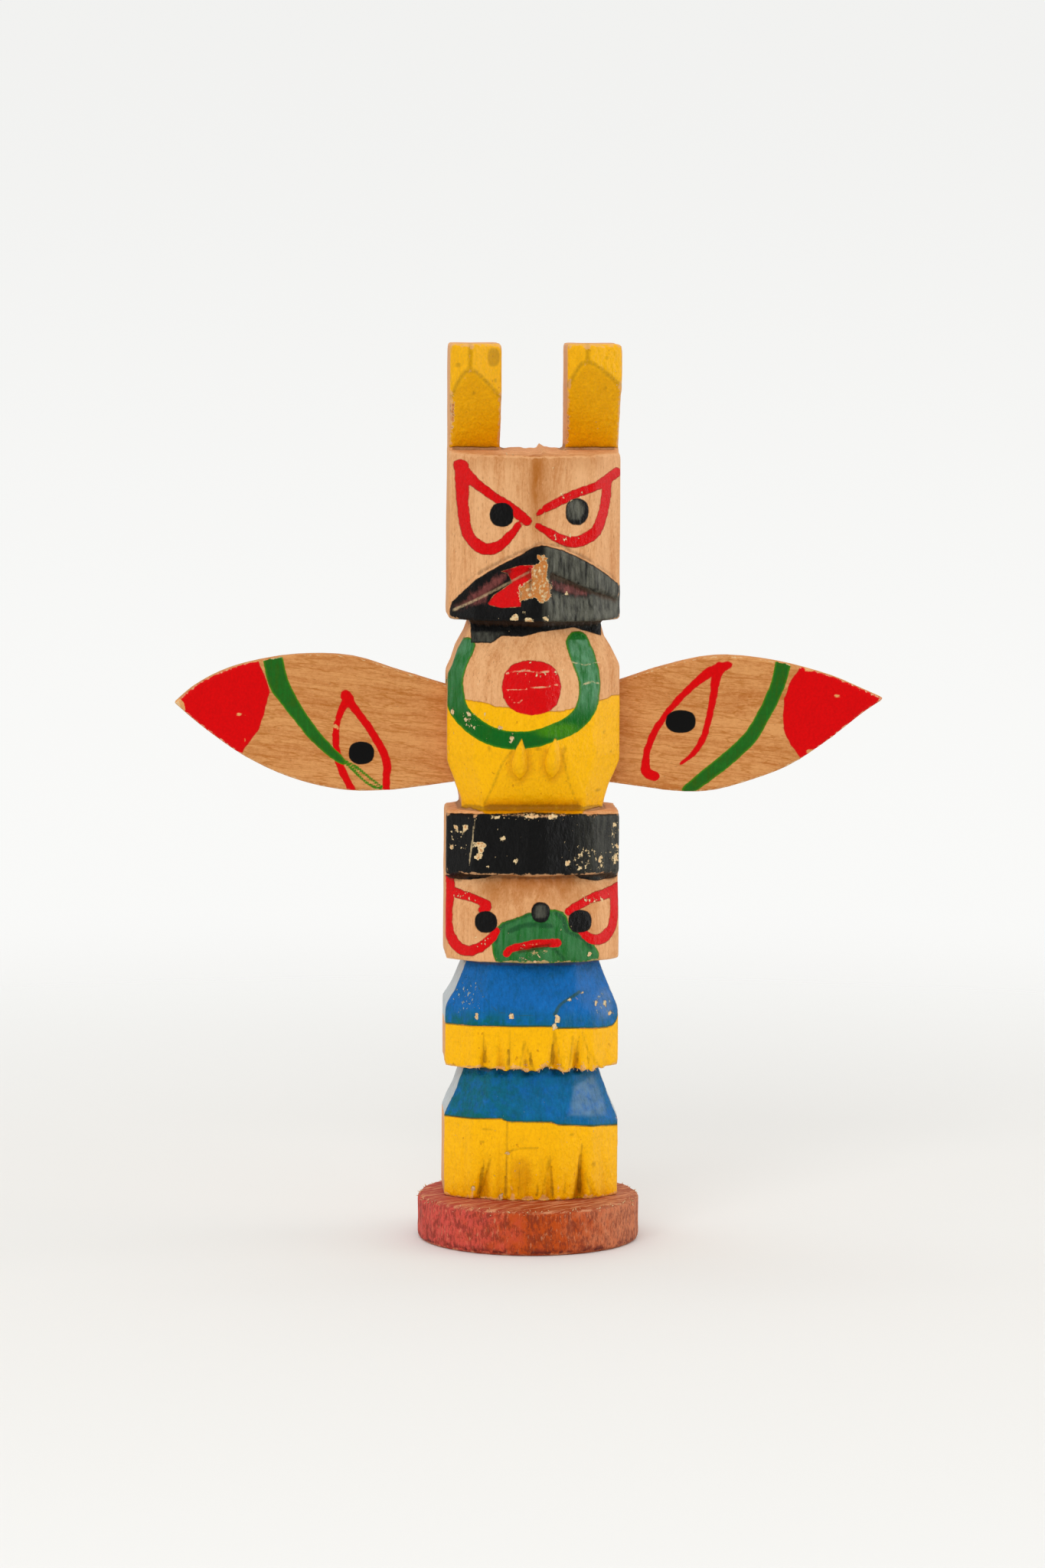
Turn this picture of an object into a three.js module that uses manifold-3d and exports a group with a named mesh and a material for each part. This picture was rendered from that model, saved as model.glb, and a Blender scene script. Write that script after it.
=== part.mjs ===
import * as THREE from 'three';
import { ConvexGeometry } from 'three/addons/geometries/ConvexGeometry.js';
import { mergeVertices } from 'three/addons/utils/BufferGeometryUtils.js';
import Module from 'manifold-3d';

const wasm = await Module();
wasm.setup();

// Small souvenir totem pole of painted wood: a pole carved in one piece, two thin wing boards
// let into slots in its sides, and a round base. Millimetres, +Z up, the carved face looks
// towards -Y, and the origin is at the centre of the base's underside.

const HEIGHT = 140;
const BASE_RADIUS = 17.3;
const BASE_HEIGHT = 7;
const BASE_EDGE = 0.6;

// Cross-section of the stock: flat back and sides, a facet on each front corner and two
// shallow planes that meet at the front. It is a little wider at the foot, and it stands
// slightly to the right of the middle of the base.
const BACK = 9;
const FOOT_SCALE = 1.028;
const LEFT_CORNER = [-13, -3];
const LEFT_FACET = [-9, -6.6];
const LEFT_FRONT = [-0.5, -9.05];
const RIGHT_FRONT = [1.9, -9.05];
const RIGHT_FACET = [9.4, -6.6];
const RIGHT_CORNER = [13.45, -3];
const FRONT_OUTLINE = [LEFT_CORNER, LEFT_FACET, LEFT_FRONT, RIGHT_FRONT, RIGHT_FACET, RIGHT_CORNER];

// Levels from the top down.
const EAR_START = 121;
const LEDGE = 123.6;
const HEAD_BOTTOM = 97.5;
const WAIST = 67.9;
const BAND_BOTTOM = 58;
const FACE_BOTTOM = 44.4;
const FRINGE_BOTTOM = 27.6;
const SKIRT_FRONT = -8.3;

// Outlines of the two square ears, seen from above.
const LEFT_EAR = [[-13, BACK], [-13, -3.9], [-10.05, -6.6], [-5.1, -3.9], [-5.1, BACK]];
const RIGHT_EAR = [[5.15, BACK], [5.15, -4.3], [8, -6.6], [13.45, -4.3], [13.45, BACK]];
const EAR_SLOPE = 0.62;

const WING_SPAN = 111;
const WING_FRONT = 1.4;
const WING_THICK = 3.2;
const WING_ROOT = 9.9;
const FIT = 0.15;
const SLOT_BOTTOM = 71.4;
const SLOT_TOP = 87.6;

// The facets of each half: angle from straight ahead and distance from the axis.
const LEFT = {
  sign: -1,
  side: { angle: Math.PI / 2, out: 13.1 },
  corner: facetOf(LEFT_CORNER, LEFT_FACET),
  cheek: facetOf(LEFT_FACET, LEFT_FRONT),
  front: { angle: 0, out: -LEFT_FRONT[1] },
};
const RIGHT = {
  sign: 1,
  side: { angle: Math.PI / 2, out: 13.7 },
  corner: facetOf(RIGHT_CORNER, RIGHT_FACET),
  cheek: facetOf(RIGHT_FACET, RIGHT_FRONT),
};

function facetOf(outer, inner) {
  const across = Math.abs(outer[0]) - Math.abs(inner[0]);
  const back = outer[1] - inner[1];
  const length = Math.hypot(across, back);
  const out = (back * Math.abs(outer[0]) - across * outer[1]) / length;
  return { angle: Math.atan2(back, across), out };
}

function solid(geometry) {
  const bare = geometry.clone();
  bare.deleteAttribute('normal');
  bare.deleteAttribute('uv');
  const merged = mergeVertices(bare, 1e-5);
  const mesh = new wasm.Mesh({
    numProp: 3,
    vertProperties: new Float32Array(merged.attributes.position.array),
    triVerts: new Uint32Array(merged.index.array),
  });
  return new wasm.Manifold(mesh);
}

function prism(points, depth) {
  const shape = new THREE.Shape(points.map(([u, v]) => new THREE.Vector2(u, v)));
  return new THREE.ExtrudeGeometry(shape, { depth, bevelEnabled: false });
}

const axis = (x, y, z) => new THREE.Vector3(x, y, z);

// A (y, z) outline swept along X.
function alongX(points, x0, x1) {
  const basis = new THREE.Matrix4().makeBasis(axis(0, 1, 0), axis(0, 0, 1), axis(1, 0, 0));
  return prism(points, x1 - x0).applyMatrix4(basis).translate(x0, 0, 0);
}

// An (x, z) outline swept along Y.
function alongY(points, y0, y1) {
  const basis = new THREE.Matrix4().makeBasis(axis(1, 0, 0), axis(0, 0, 1), axis(0, -1, 0));
  return prism(points, y1 - y0).applyMatrix4(basis).translate(0, y1, 0);
}

// An (x, y) outline raised along Z.
function alongZ(points, z0, z1) {
  return prism(points, z1 - z0).translate(0, 0, z0);
}

function hull(points) {
  return solid(new ConvexGeometry(points.map(([x, y, z]) => new THREE.Vector3(x, y, z))));
}

// A groove worked into one facet: profile points are [depth below the facet, z].
function facetGroove(facet, profile, side) {
  const outline = profile.map(([depth, z]) => [depth - facet.out, z]);
  const first = profile[0][1];
  const last = profile[profile.length - 1][1];
  outline.push([-facet.out - 6, last], [-facet.out - 6, first]);
  return solid(alongX(outline, -30, 30).rotateZ(side * facet.angle));
}

// The y of the stock's front at a given x.
function frontAt(x) {
  for (let i = 1; i < FRONT_OUTLINE.length; i += 1) {
    const [x0, y0] = FRONT_OUTLINE[i - 1];
    const [x1, y1] = FRONT_OUTLINE[i];
    if (x <= x1 || i === FRONT_OUTLINE.length - 1) {
      return y0 + (y1 - y0) * (x - x0) / (x1 - x0);
    }
  }
  return BACK;
}

function stockSolid(shiftY) {
  const section = [[LEFT_CORNER[0], BACK], ...FRONT_OUTLINE, [RIGHT_CORNER[0], BACK]];
  const geometry = alongZ(section, BASE_HEIGHT, LEDGE + 1);
  const position = geometry.attributes.position;
  for (let i = 0; i < position.count; i += 1) {
    const down = (HEIGHT - position.getZ(i)) / (HEIGHT - BASE_HEIGHT);
    position.setX(i, position.getX(i) * (1 + down * (FOOT_SCALE - 1)));
  }
  return solid(geometry.translate(0, shiftY, 0));
}

// A V gouge in a fringe that starts at a point and gets wider and deeper downwards.
function fringeGouge(xTop, zTop, xLow, zLow, width, depth) {
  const top = Math.max(frontAt(xTop), SKIRT_FRONT);
  const low = Math.max(frontAt(xLow), SKIRT_FRONT);
  const spread = (width / 2) * (depth + 1) / depth;
  return hull([
    [xTop, top, zTop],
    [xLow, low + depth, zLow],
    [xLow - spread, low - 1, zLow],
    [xLow + spread, low - 1, zLow],
  ]);
}

// One length of the open beak's V groove, between two stations { x, upper, valley, lower, depth }.
function mouthLength(a, b) {
  const points = [];
  for (const s of [a, b]) {
    const y = frontAt(s.x);
    const valley = [s.x, y + s.depth, s.valley];
    points.push(valley);
    points.push([s.x, y - s.depth, 2 * s.upper - s.valley]);
    points.push([s.x, y - s.depth, 2 * s.lower - s.valley]);
  }
  return hull(points);
}

// A spindle-shaped talon left standing on the sloping front below the body.
function talon(x, tipX) {
  return hull([
    [tipX, -9.05, 80],
    [x - 1.35, -7.6, 75.6],
    [x + 1.35, -7.6, 75.6],
    [x - 0.2, -8.95, 77.8],
    [x + 0.2, -8.95, 77.8],
    [x - 0.2, -8.5, 75.8],
    [x + 0.2, -8.5, 75.8],
    [x - 1, -6.95, 73.6],
    [x + 1, -6.95, 73.6],
    [x, -7.6, 73.8],
    [x, -6.45, 71.9],
    [x - 0.9, -6, 75],
    [x + 0.9, -6, 75],
  ]);
}

function carvePole() {
  let pole = stockSolid(0);
  const cut = (tool) => {
    pole = pole.subtract(tool);
  };
  const sweep = (profile) => {
    cut(solid(alongX(profile, -30, 30)));
  };
  const grooves = (left, right) => {
    for (const [half, profiles] of [[LEFT, left], [RIGHT, right]]) {
      for (const [name, profile] of Object.entries(profiles)) {
        cut(facetGroove(half[name], profile, half.sign));
      }
    }
  };

  // A ledge across the top of the head, and two ears whose fronts slope back to it.
  sweep([[-12, LEDGE - 0.9], [2, LEDGE], [12, LEDGE], [12, 130], [-12, 130]]);
  for (const [outline, apex] of [[LEFT_EAR, 136.1], [RIGHT_EAR, 137.4]]) {
    const foot = -6.6 + (apex - LEDGE) * EAR_SLOPE;
    const head = -6.6 + (apex - 142) * EAR_SLOPE;
    const below = LEDGE - 3;
    const front = [[-14, below], [foot + 3 * EAR_SLOPE, below], [head, 142], [-14, 142]];
    const ear = solid(alongZ(outline, EAR_START, HEIGHT)).subtract(solid(alongX(front, -20, 20)));
    pole = pole.add(ear);
  }

  // Head: everything above the beak is cut back a little, then the open beak is gouged out.
  const brow = [
    [-16, 98.6],
    [-13.3, 99.2],
    [-12.6, 100.9],
    [-9.3, 104],
    [-4.6, 106.7],
    [-0.5, 108.6],
    [0.9, 109.3],
    [4.3, 108.7],
    [9, 106.3],
    [13, 103.4],
    [16, 101],
    [16, LEDGE + 0.5],
    [-16, LEDGE + 0.5],
  ];
  cut(solid(alongY(brow, -14, 6)).subtract(stockSolid(0.6)));
  const left = [
    { x: -14.5, upper: 99.6, valley: 98.9, lower: 98.3, depth: 0.7 },
    { x: -9.2, upper: 103, valley: 100.7, lower: 98.6, depth: 1 },
    { x: -0.5, upper: 106.5, valley: 105.1, lower: 99.6, depth: 1.3 },
  ];
  const right = [
    { x: 14.5, upper: 100.3, valley: 100.1, lower: 98.2, depth: 0.7 },
    { x: 9.2, upper: 102.4, valley: 102, lower: 98.6, depth: 1 },
    { x: 2.2, upper: 105.5, valley: 105, lower: 99, depth: 1.2 },
  ];
  for (const [a, b, c] of [left, right]) {
    cut(mouthLength(a, b));
    cut(mouthLength(b, c));
  }

  // Neck, flaring into the body.
  grooves(
    {
      side: [[3.6, HEAD_BOTTOM], [2.8, 95.2], [1.5, 92.8], [0.7, 90.4], [-0.2, 88.6]],
      corner: [[2.2, HEAD_BOTTOM], [0, 90]],
      cheek: [[3.2, HEAD_BOTTOM], [0.45, 89.7], [0, 86.7]],
      front: [[3.2, HEAD_BOTTOM], [0.45, 89.7], [0, 86.7]],
    },
    {
      side: [[3.3, HEAD_BOTTOM], [2.6, 95], [1.6, 93.4], [0.6, 91.4], [-0.2, 89.8]],
      corner: [[2.2, HEAD_BOTTOM], [0, 90.6]],
      cheek: [[3.2, HEAD_BOTTOM], [0.45, 89.7], [0, 86.7]],
    },
  );

  // Below the body the sides and the front slope in to a waist above the band.
  grooves(
    {
      side: [[-0.2, 75.7], [1.1, 72.3], [2, 69.8], [2.3, WAIST], [0, WAIST - 0.3]],
      corner: [[0, 76.4], [2.1, WAIST], [0.4, WAIST - 0.2], [0, WAIST - 0.6]],
      cheek: [[0, 77.4], [1.5, WAIST + 0.2], [1.5, WAIST], [0.4, WAIST - 0.1], [0, WAIST - 0.5]],
    },
    {
      side: [[-0.2, 76.6], [0.6, 74.1], [1.75, 71.7], [2.4, 69.3], [2.6, WAIST], [0, WAIST - 0.3]],
      corner: [[0, 76.4], [2.1, WAIST], [0.4, WAIST - 0.2], [0, WAIST - 0.6]],
      cheek: [[0, 77.4], [1.5, WAIST + 0.2], [1.5, WAIST], [0.4, WAIST - 0.1], [0, WAIST - 0.5]],
    },
  );
  sweep([[-9.4, 80.7], [-5.9, 70.2], [-5.2, 68.6], [-5.2, WAIST], [-9.6, WAIST - 0.3]]);
  pole = pole.add(talon(-2.2, -2.1)).add(talon(2.7, 2.7));

  // Lower face, hollowed under the band, with a gouged mouth.
  const brows = { cheek: [[2.6, BAND_BOTTOM], [1.2, 55], [0.3, 52.4], [0, 50.6]] };
  const temples = { corner: [[1.6, BAND_BOTTOM - 0.5], [0.5, 55], [0, 53]] };
  grooves({ ...brows, ...temples, front: brows.cheek }, { ...brows, ...temples });
  cut(hull([
    [-4.4, -9.6, 46.6],
    [-4, -9.6, 45.2],
    [4, -9.6, 48.2],
    [4.2, -9.6, 46.9],
    [-4.2, -7.3, 45.9],
    [4, -8, 47.5],
  ]));

  // Two skirts: a slanted, faceted upper part above a fringe cut with V gouges.
  sweep([[-12, 6], [SKIRT_FRONT, 6], [SKIRT_FRONT, 43], [-9.2, FACE_BOTTOM], [-12, FACE_BOTTOM]]);
  grooves(
    {
      side: [[3.2, FACE_BOTTOM], [2.4, 42.3], [1.2, 39.4], [-0.2, 37.2]],
      corner: [[2.9, FACE_BOTTOM], [0, 37.4]],
    },
    {
      side: [[3.1, FACE_BOTTOM], [2.1, 41.7], [0.9, 38.9], [0.2, 37.2], [-0.2, 36.4]],
      corner: [[2.9, FACE_BOTTOM], [0, 36.4]],
    },
  );
  sweep([[-12, FACE_BOTTOM], [-5.2, FACE_BOTTOM], [SKIRT_FRONT, 36.7], [-12, 36.7]]);
  grooves(
    {
      side: [[3, FRINGE_BOTTOM], [2.1, 25.5], [1.4, 23.4], [0.45, 21.6], [-0.3, 19.7]],
      corner: [[2.9, FRINGE_BOTTOM], [0, 20.2]],
    },
    {
      side: [[3.1, FRINGE_BOTTOM], [2.3, 25.4], [1.2, 22.4], [0.3, 20.3], [-0.3, 19.2]],
      corner: [[2.9, FRINGE_BOTTOM], [0, 19.6]],
    },
  );
  sweep([[-12, FRINGE_BOTTOM], [-5.4, FRINGE_BOTTOM], [SKIRT_FRONT, 20.2], [-12, 20.2]]);
  const upperFringe = [
    [-7.4, 33.4, -7.2, 2.2, 1],
    [-3.6, 34.6, -3.7, 1.2, 0.9],
    [-0.8, 33, 0.2, 2, 0.9],
    [3.2, 34.4, 3.3, 2.8, 1.1],
    [7.4, 34.2, 7.2, 2.2, 0.9],
    [8.8, 33.4, 9.1, 1.1, 0.5],
  ];
  for (const [xTop, zTop, xLow, width, depth] of upperFringe) {
    cut(fringeGouge(xTop, zTop, xLow, FRINGE_BOTTOM - 0.3, width, depth));
  }
  const lowerFringe = [
    [-7.2, 15, -8.2, 2.8, 1.1],
    [-4, 19.6, -4, 1.4, 0.8],
    [-2.1, 12, -1.9, 1.8, 0.6],
    [1.3, 12.4, 0.8, 1.6, 0.7],
    [2.9, 18.8, 3.4, 2, 0.7],
    [5.8, 13, 5.2, 1.4, 0.5],
    [7.8, 16, 7.7, 2.6, 1.2],
  ];
  for (const [xTop, zTop, xLow, width, depth] of lowerFringe) {
    cut(fringeGouge(xTop, zTop, xLow, BASE_HEIGHT - 0.2, width, depth));
  }

  // A slot in each side for the root of a wing.
  for (const side of [1, -1]) {
    const slot = new THREE.BoxGeometry(10, WING_THICK + 2 * FIT, SLOT_TOP - SLOT_BOTTOM);
    slot.translate(side * (WING_ROOT - FIT + 5), WING_FRONT + WING_THICK / 2, (SLOT_TOP + SLOT_BOTTOM) / 2);
    cut(solid(slot));
  }
  return pole;
}

// A flat wing board: the root in its slot, a curved upper and lower edge, a pointed tip.
function wingGeometry(side, upper, lower) {
  const along = (points) => points.map(([x, z]) => new THREE.Vector2(side * x, z));
  const tip = upper[upper.length - 1];
  const over = new THREE.SplineCurve(along(upper)).getPoints(26);
  const under = new THREE.SplineCurve(along([tip, ...lower])).getPoints(26);
  const outline = [...over, ...under.slice(1)].map((p) => [p.x, p.y]);
  return alongY(outline, WING_FRONT, WING_FRONT + WING_THICK);
}

function baseGeometry() {
  const shape = new THREE.Shape().absarc(0, 0, BASE_RADIUS - BASE_EDGE, 0, 2 * Math.PI);
  return new THREE.ExtrudeGeometry(shape, {
    depth: BASE_HEIGHT - 2 * BASE_EDGE,
    curveSegments: 96,
    bevelThickness: BASE_EDGE,
    bevelSize: BASE_EDGE,
    bevelSegments: 3,
  }).translate(0, 0, BASE_EDGE);
}

function meshOf(name, body, color, roughness) {
  const result = body.getMesh();
  const geometry = new THREE.BufferGeometry();
  geometry.setAttribute('position', new THREE.BufferAttribute(new Float32Array(result.vertProperties), 3));
  geometry.setIndex(new THREE.BufferAttribute(new Uint32Array(result.triVerts), 1));
  const flat = geometry.toNonIndexed();
  flat.computeVertexNormals();
  const mesh = new THREE.Mesh(flat, new THREE.MeshStandardMaterial({ color, roughness, metalness: 0 }));
  mesh.name = name;
  return mesh;
}

// Wing edges as [distance from the middle, height], root to tip above and tip to root below.
const leftUpper = [
  [WING_ROOT, 86], [13.6, 87], [20.6, 89.1], [28, 91.3],
  [36.9, 91.5], [45.8, 89.8], [51.7, 87.1], [WING_SPAN / 2, 84],
];
const leftLower = [
  [51.7, 80.7], [45.8, 76.4], [39.9, 73.3], [34, 71.3],
  [28, 70.3], [22, 70.4], [16.1, 71.1], [WING_ROOT, 72],
];
const rightUpper = [
  [WING_ROOT, 86.4], [14.3, 87.7], [21.4, 90], [29, 91.5],
  [37.7, 90.8], [46.5, 88.6], [52.3, 86.2], [WING_SPAN / 2, 84.8],
];
const rightLower = [
  [52.3, 82.7], [46.6, 78.2], [40.8, 74.4], [35, 72.1],
  [28.8, 70.4], [23.4, 70.2], [17.5, 70.9], [WING_ROOT, 72],
];

const totem = new THREE.Group();
totem.name = 'totem_pole';
totem.add(meshOf('pole', carvePole(), 0xd9a878, 0.6));
totem.add(meshOf('left_wing', solid(wingGeometry(-1, leftUpper, leftLower)), 0xc98f5e, 0.6));
totem.add(meshOf('right_wing', solid(wingGeometry(1, rightUpper, rightLower)), 0xc98f5e, 0.6));
totem.add(meshOf('base_disc', solid(baseGeometry()), 0xa8543c, 0.75));

export default totem;
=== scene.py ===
from itertools import product
from math import cos, pi, radians, sin

import bmesh
import bpy
import numpy as np
from bpy.props import FloatProperty, FloatVectorProperty, IntProperty, PointerProperty
from mathutils import Matrix, Vector
from mathutils.bvhtree import BVHTree


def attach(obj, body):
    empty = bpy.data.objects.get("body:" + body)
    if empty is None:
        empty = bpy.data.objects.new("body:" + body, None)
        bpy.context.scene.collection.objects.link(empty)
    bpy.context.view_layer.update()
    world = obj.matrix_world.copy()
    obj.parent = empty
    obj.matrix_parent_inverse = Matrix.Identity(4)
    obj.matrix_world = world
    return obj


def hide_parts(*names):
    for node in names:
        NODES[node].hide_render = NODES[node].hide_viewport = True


bl_info = {
    "name": "Painted Totem Pole",
    "version": (1, 0, 0),
    "blender": (4, 5, 0),
    "location": "View3D > Sidebar > Totem Pole",
    "description": "Builds a small carved and painted wooden totem pole with two wings",
    "category": "Object",
}

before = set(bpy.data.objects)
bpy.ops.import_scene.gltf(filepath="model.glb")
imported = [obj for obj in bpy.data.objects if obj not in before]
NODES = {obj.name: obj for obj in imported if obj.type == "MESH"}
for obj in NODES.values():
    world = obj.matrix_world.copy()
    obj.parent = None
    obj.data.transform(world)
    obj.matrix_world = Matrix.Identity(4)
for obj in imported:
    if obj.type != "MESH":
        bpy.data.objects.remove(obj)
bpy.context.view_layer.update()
MM = 0.001

# The base's top and radius, from its CAD solid, in mm.
BASE_CORNERS = np.array(NODES["base_disc"].bound_box) / MM
BASE_TOP = BASE_CORNERS[:, 2].max()
BASE_RADIUS = BASE_CORNERS[:, 0].max()

# Heights of the carved parts, in mm above the ground.
LEDGE = 123.6
BEAK_TOP = 110.5
NECK_TOP = 95.5
BODY_TOP = 92.0
SILL_TOP = 70.2
WAIST = 67.9
EAVE = 58.4
FACE_BOTTOM = 44.4
FRINGE_BOTTOM = 27.6

# How far back the front's paint goes, and how much farther its lines wrap round an edge, in mm.
PAINT_REACH = 2.5
WRAP = 0.45
# Where a wing leaves its slot and where it is clear of the pole, from the middle, in mm.
WING_ROOT = 13.2
WING_CLEAR = 14.5
# How the grain lies on the wings and the saw's stripes on the base, in degrees, and the direction across the
# saw's cuts.
WING_GRAIN_TURN = 84
SAW_TURN = -38
SAW_ACROSS = (0.62, 0.78)

# The largest distance in mm that a field keeps, one that is beyond any place on the part, and a tiny one.
FIELD_LIMIT = 8.0
FAR = 50.0
TINY = 1e-9
# A bend of this many mm between a point and its neighbours counts as sharp.
SHARP_BEND = 0.03
# The outline of a dab of paint: 2 would be a true oval, and more is squarer.
DAB_SQUARENESS = 2.3

# Points of a CAD solid closer than this, in metres, are one point.
WELD = 1e-6

# How noise picks its values: their number, a power of two, and a large odd step for each axis.
NOISE_VALUES = 8192
NOISE_STEPS = (73856093, 19349663, 83492791)

# Brush strokes on the pole, as (x, z) in mm, with widths in mm.
RED_STROKES = [
    ([(-11.3, 121), (-11.1, 119.2), (-11.1, 117.5), (-11, 115.1), (-10.5, 111.6), (-9.6, 109.9),
      (-8.2, 108.8), (-6.8, 108.6), (-5.4, 109.1), (-3.9, 110.6), (-2.6, 112.3)],
     [1.9, 2.1, 2.0, 1.75, 1.7, 1.75, 1.9, 1.8, 1.6, 1.3, 1.0]),
    ([(-10.8, 120.1), (-8.6, 118.3), (-6.3, 116.7), (-3.9, 115.1), (-2, 113.6), (-1.3, 113)],
     [2.2, 1.5, 1.35, 1.5, 1.6, 1.5]),
    ([(12.9, 120.3), (11, 119.1), (9.1, 118.1), (6.1, 117.1), (3.1, 115.7), (1.7, 115)],
     [1.5, 1.5, 1.3, 1.3, 1.3, 1.1]),
    ([(0.9, 114.5), (0.3, 114)], [0.9, 0.6]),
    ([(11.2, 118.8), (11.1, 116.4), (10.6, 114), (9.5, 111.4), (7.4, 110), (5.6, 109.7), (3.7, 110.3),
      (1.9, 111.4), (0.4, 112.3)],
     [1.6, 1.5, 1.6, 1.75, 1.8, 1.7, 1.5, 1.2, 0.9]),
    ([(-12.7, 57.8), (-12.7, 54.8), (-12.9, 53), (-13, 50.7), (-12.6, 48.3), (-11.4, 46.5), (-10, 46.1),
      (-8.3, 46.6), (-6.5, 48.1), (-5.6, 49.4)],
     [1.5, 1.6, 1.5, 1.4, 1.6, 1.7, 1.7, 1.5, 1.4, 1.1]),
    ([(-12.7, 55.1), (-11.2, 54.7), (-9.4, 54.3), (-7.7, 53.7), (-7, 53.1), (-7.9, 52.5)],
     [1.5, 1.4, 1.2, 1.3, 1.4, 1.0]),
    ([(5.6, 52.4), (7.2, 53.3), (9.6, 54.3), (12.1, 54.9), (13.7, 55.5)], [1.2, 1.3, 1.4, 1.5, 1.6]),
    ([(13, 54.8), (13, 53.6), (12.9, 51.3), (12.4, 49.3), (10.9, 47.9), (9, 48.1), (7.5, 49.4)],
     [1.4, 1.4, 1.4, 1.6, 1.8, 1.5, 1.1]),
    ([(-4.1, 45.9), (-3.2, 46.7), (-1.2, 47.2), (1.1, 47.6), (3.9, 47.6)], [1.1, 1.2, 1.3, 1.4, 1.3]),
]
RED_DABS = [((-11.3, 121.2), 1.15, 1.05), ((-0.4, 87.3), 4.5, 4.15)]
TONGUE = [
    (-7.3, 100), (-6.3, 101.4), (-3.4, 103.5), (-4.2, 104.9), (-5.2, 105.2), (-2.3, 106.2), (-0.1, 106.3),
    (0.3, 105.2), (-0.5, 103.8), (-2.1, 102.6), (-2.1, 99.8), (-5.1, 99.5),
]
BLACK_DABS = [
    ((-5.1, 113.9), 1.8, 1.85), ((6.5, 114.4), 1.8, 2.05), ((-7.2, 50.7), 1.7, 1.65),
    ((7.4, 50.8), 1.85, 1.75), ((1.2, 52.4), 1.45, 1.55),
]
BEAK = [
    (-12.9, 98.8), (-12.5, 100.2), (-11.4, 101.4), (-9.1, 103.8), (-6.8, 105.3), (-4.5, 106.6),
    (-2.2, 107.8), (-0.4, 108.9), (1, 109.3), (2.1, 109.1), (4.3, 108.5), (6.7, 107.4), (9.2, 106.1),
    (11.7, 104.3), (13.3, 103), (14.2, 102.2), (14.2, 97), (-12.9, 97),
]
NECK = [
    (-9.7, 97.4), (-9.6, 93.9), (-6.4, 94), (-5.7, 94.5), (-4.9, 95.1), (-1.7, 95), (0.6, 95.7),
    (4.2, 96.1), (6.2, 96.4), (10.6, 95), (10.7, 97.4),
]
BAND_TOP_LINE = [(-14, 67.2), (-8, 67.6), (0, 67.8), (8, 67.6), (14, 67.1)]
BAND_LOW_LINE = [
    (-13.1, 57.2), (-12.3, 56.9), (-9.8, 56.9), (-7.2, 57.3), (-5.4, 58), (0.5, 58.2), (6.5, 58),
    (7.5, 57.2), (10, 56.8), (12.8, 57), (13.7, 57.2),
]
GREEN_ARMS = [
    (-10.2, 93.5), (-11.7, 90.4), (-12.3, 87.8), (-11.9, 84.9), (-10.9, 82.8), (-8.8, 80.9), (-6.1, 79.6),
    (-2.9, 79.1), (0.3, 79.5), (2.5, 80.2), (4.9, 81.1), (6.9, 82.4), (8.2, 84.3), (8.6, 86.4), (8.6, 88.6),
    (7.7, 91.7), (6.8, 94),
]
GREEN_WIDTHS = [2.4, 2.7, 2.9, 3.0, 2.9, 2.9, 2.9, 2.8, 2.7, 2.7, 2.9, 3.1, 3.2, 3.3, 3.4, 3.8, 3.6]
# Strokes of painted shade on the muzzle, and their widths in mm.
MUZZLE_SHADE = [
    ([(-3.6, 49.4), (-2.4, 50), (-0.7, 50.5), (2.9, 50.3)], 0.7),
    ([(-5.6, 47.6), (-5.2, 49.6), (-3.4, 51), (-0.8, 52), (0.6, 52.3)], 0.5),
    ([(3.6, 52.3), (4.8, 51.2), (5.4, 49.4), (7.6, 48.3), (9.2, 46.6)], 0.6),
    ([(3.2, 46.6), (4.4, 45.6), (5.2, 44.4)], 0.5),
]
MUZZLE = [
    (-5.9, 49.1), (-5.6, 49.8), (-4.8, 50.7), (-3, 51.3), (-0.7, 52.3), (2.3, 52.8), (3.5, 52.8),
    (4.7, 52.4), (5.3, 51.6), (5.9, 49.8), (7.4, 48.8), (8.7, 48.5), (9.6, 47.2), (10.5, 45.6),
    (10.3, 43.4), (-5.4, 43.6), (-6.1, 45.8), (-6.3, 47.6),
]
TALONS = [
    [(-1.9, 79.5), (-2.7, 77.9), (-3.4, 75.6), (-3.2, 74.2), (-2.1, 72.9), (-1, 74.2), (-0.8, 75.6),
     (-1.4, 77.9)],
    [(3.3, 79.7), (2.3, 77.9), (1.7, 75.8), (2, 74.2), (3, 73.2), (4, 74.4), (4.2, 76.1), (3.9, 77.9)],
]
BODY_LINE = [
    (-13.1, 86.2), (-10.5, 85.3), (-7.6, 84.9), (-5.8, 84.3), (-3.8, 84.2), (1.5, 83.7), (4.5, 83.7),
    (6.3, 84.2), (10.2, 85.1), (12.2, 85.7), (13.6, 85.8),
]
UPPER_SKIRT_LINE = [
    (-13.1, 34.3), (-8.8, 34.4), (-4.1, 34.5), (3, 34.5), (3.6, 34.3), (11.6, 33.9), (12.8, 34),
    (13.5, 34.7), (13.8, 36.1),
]
LOWER_SKIRT_LINE = [(-13, 19.7), (-4.6, 20), (-3.8, 19.6), (3.1, 19.5), (4, 19.1), (13.7, 18.2)]
LEFT_ARCH = [(-13, 131.75), (-10.05, 136.1), (-5.1, 131.75)]
RIGHT_ARCH = [(5.15, 133.7), (8, 137.4), (13.45, 133.7)]
# Dark lines of painted shade along the ears' ridges and arches.
EAR_LINES = [[(-10.05, 140), (-10.05, 136.1)], LEFT_ARCH, [(8, 140), (8, 137.4)], RIGHT_ARCH]
EAR_LINE_WIDTH = 0.5
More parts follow.
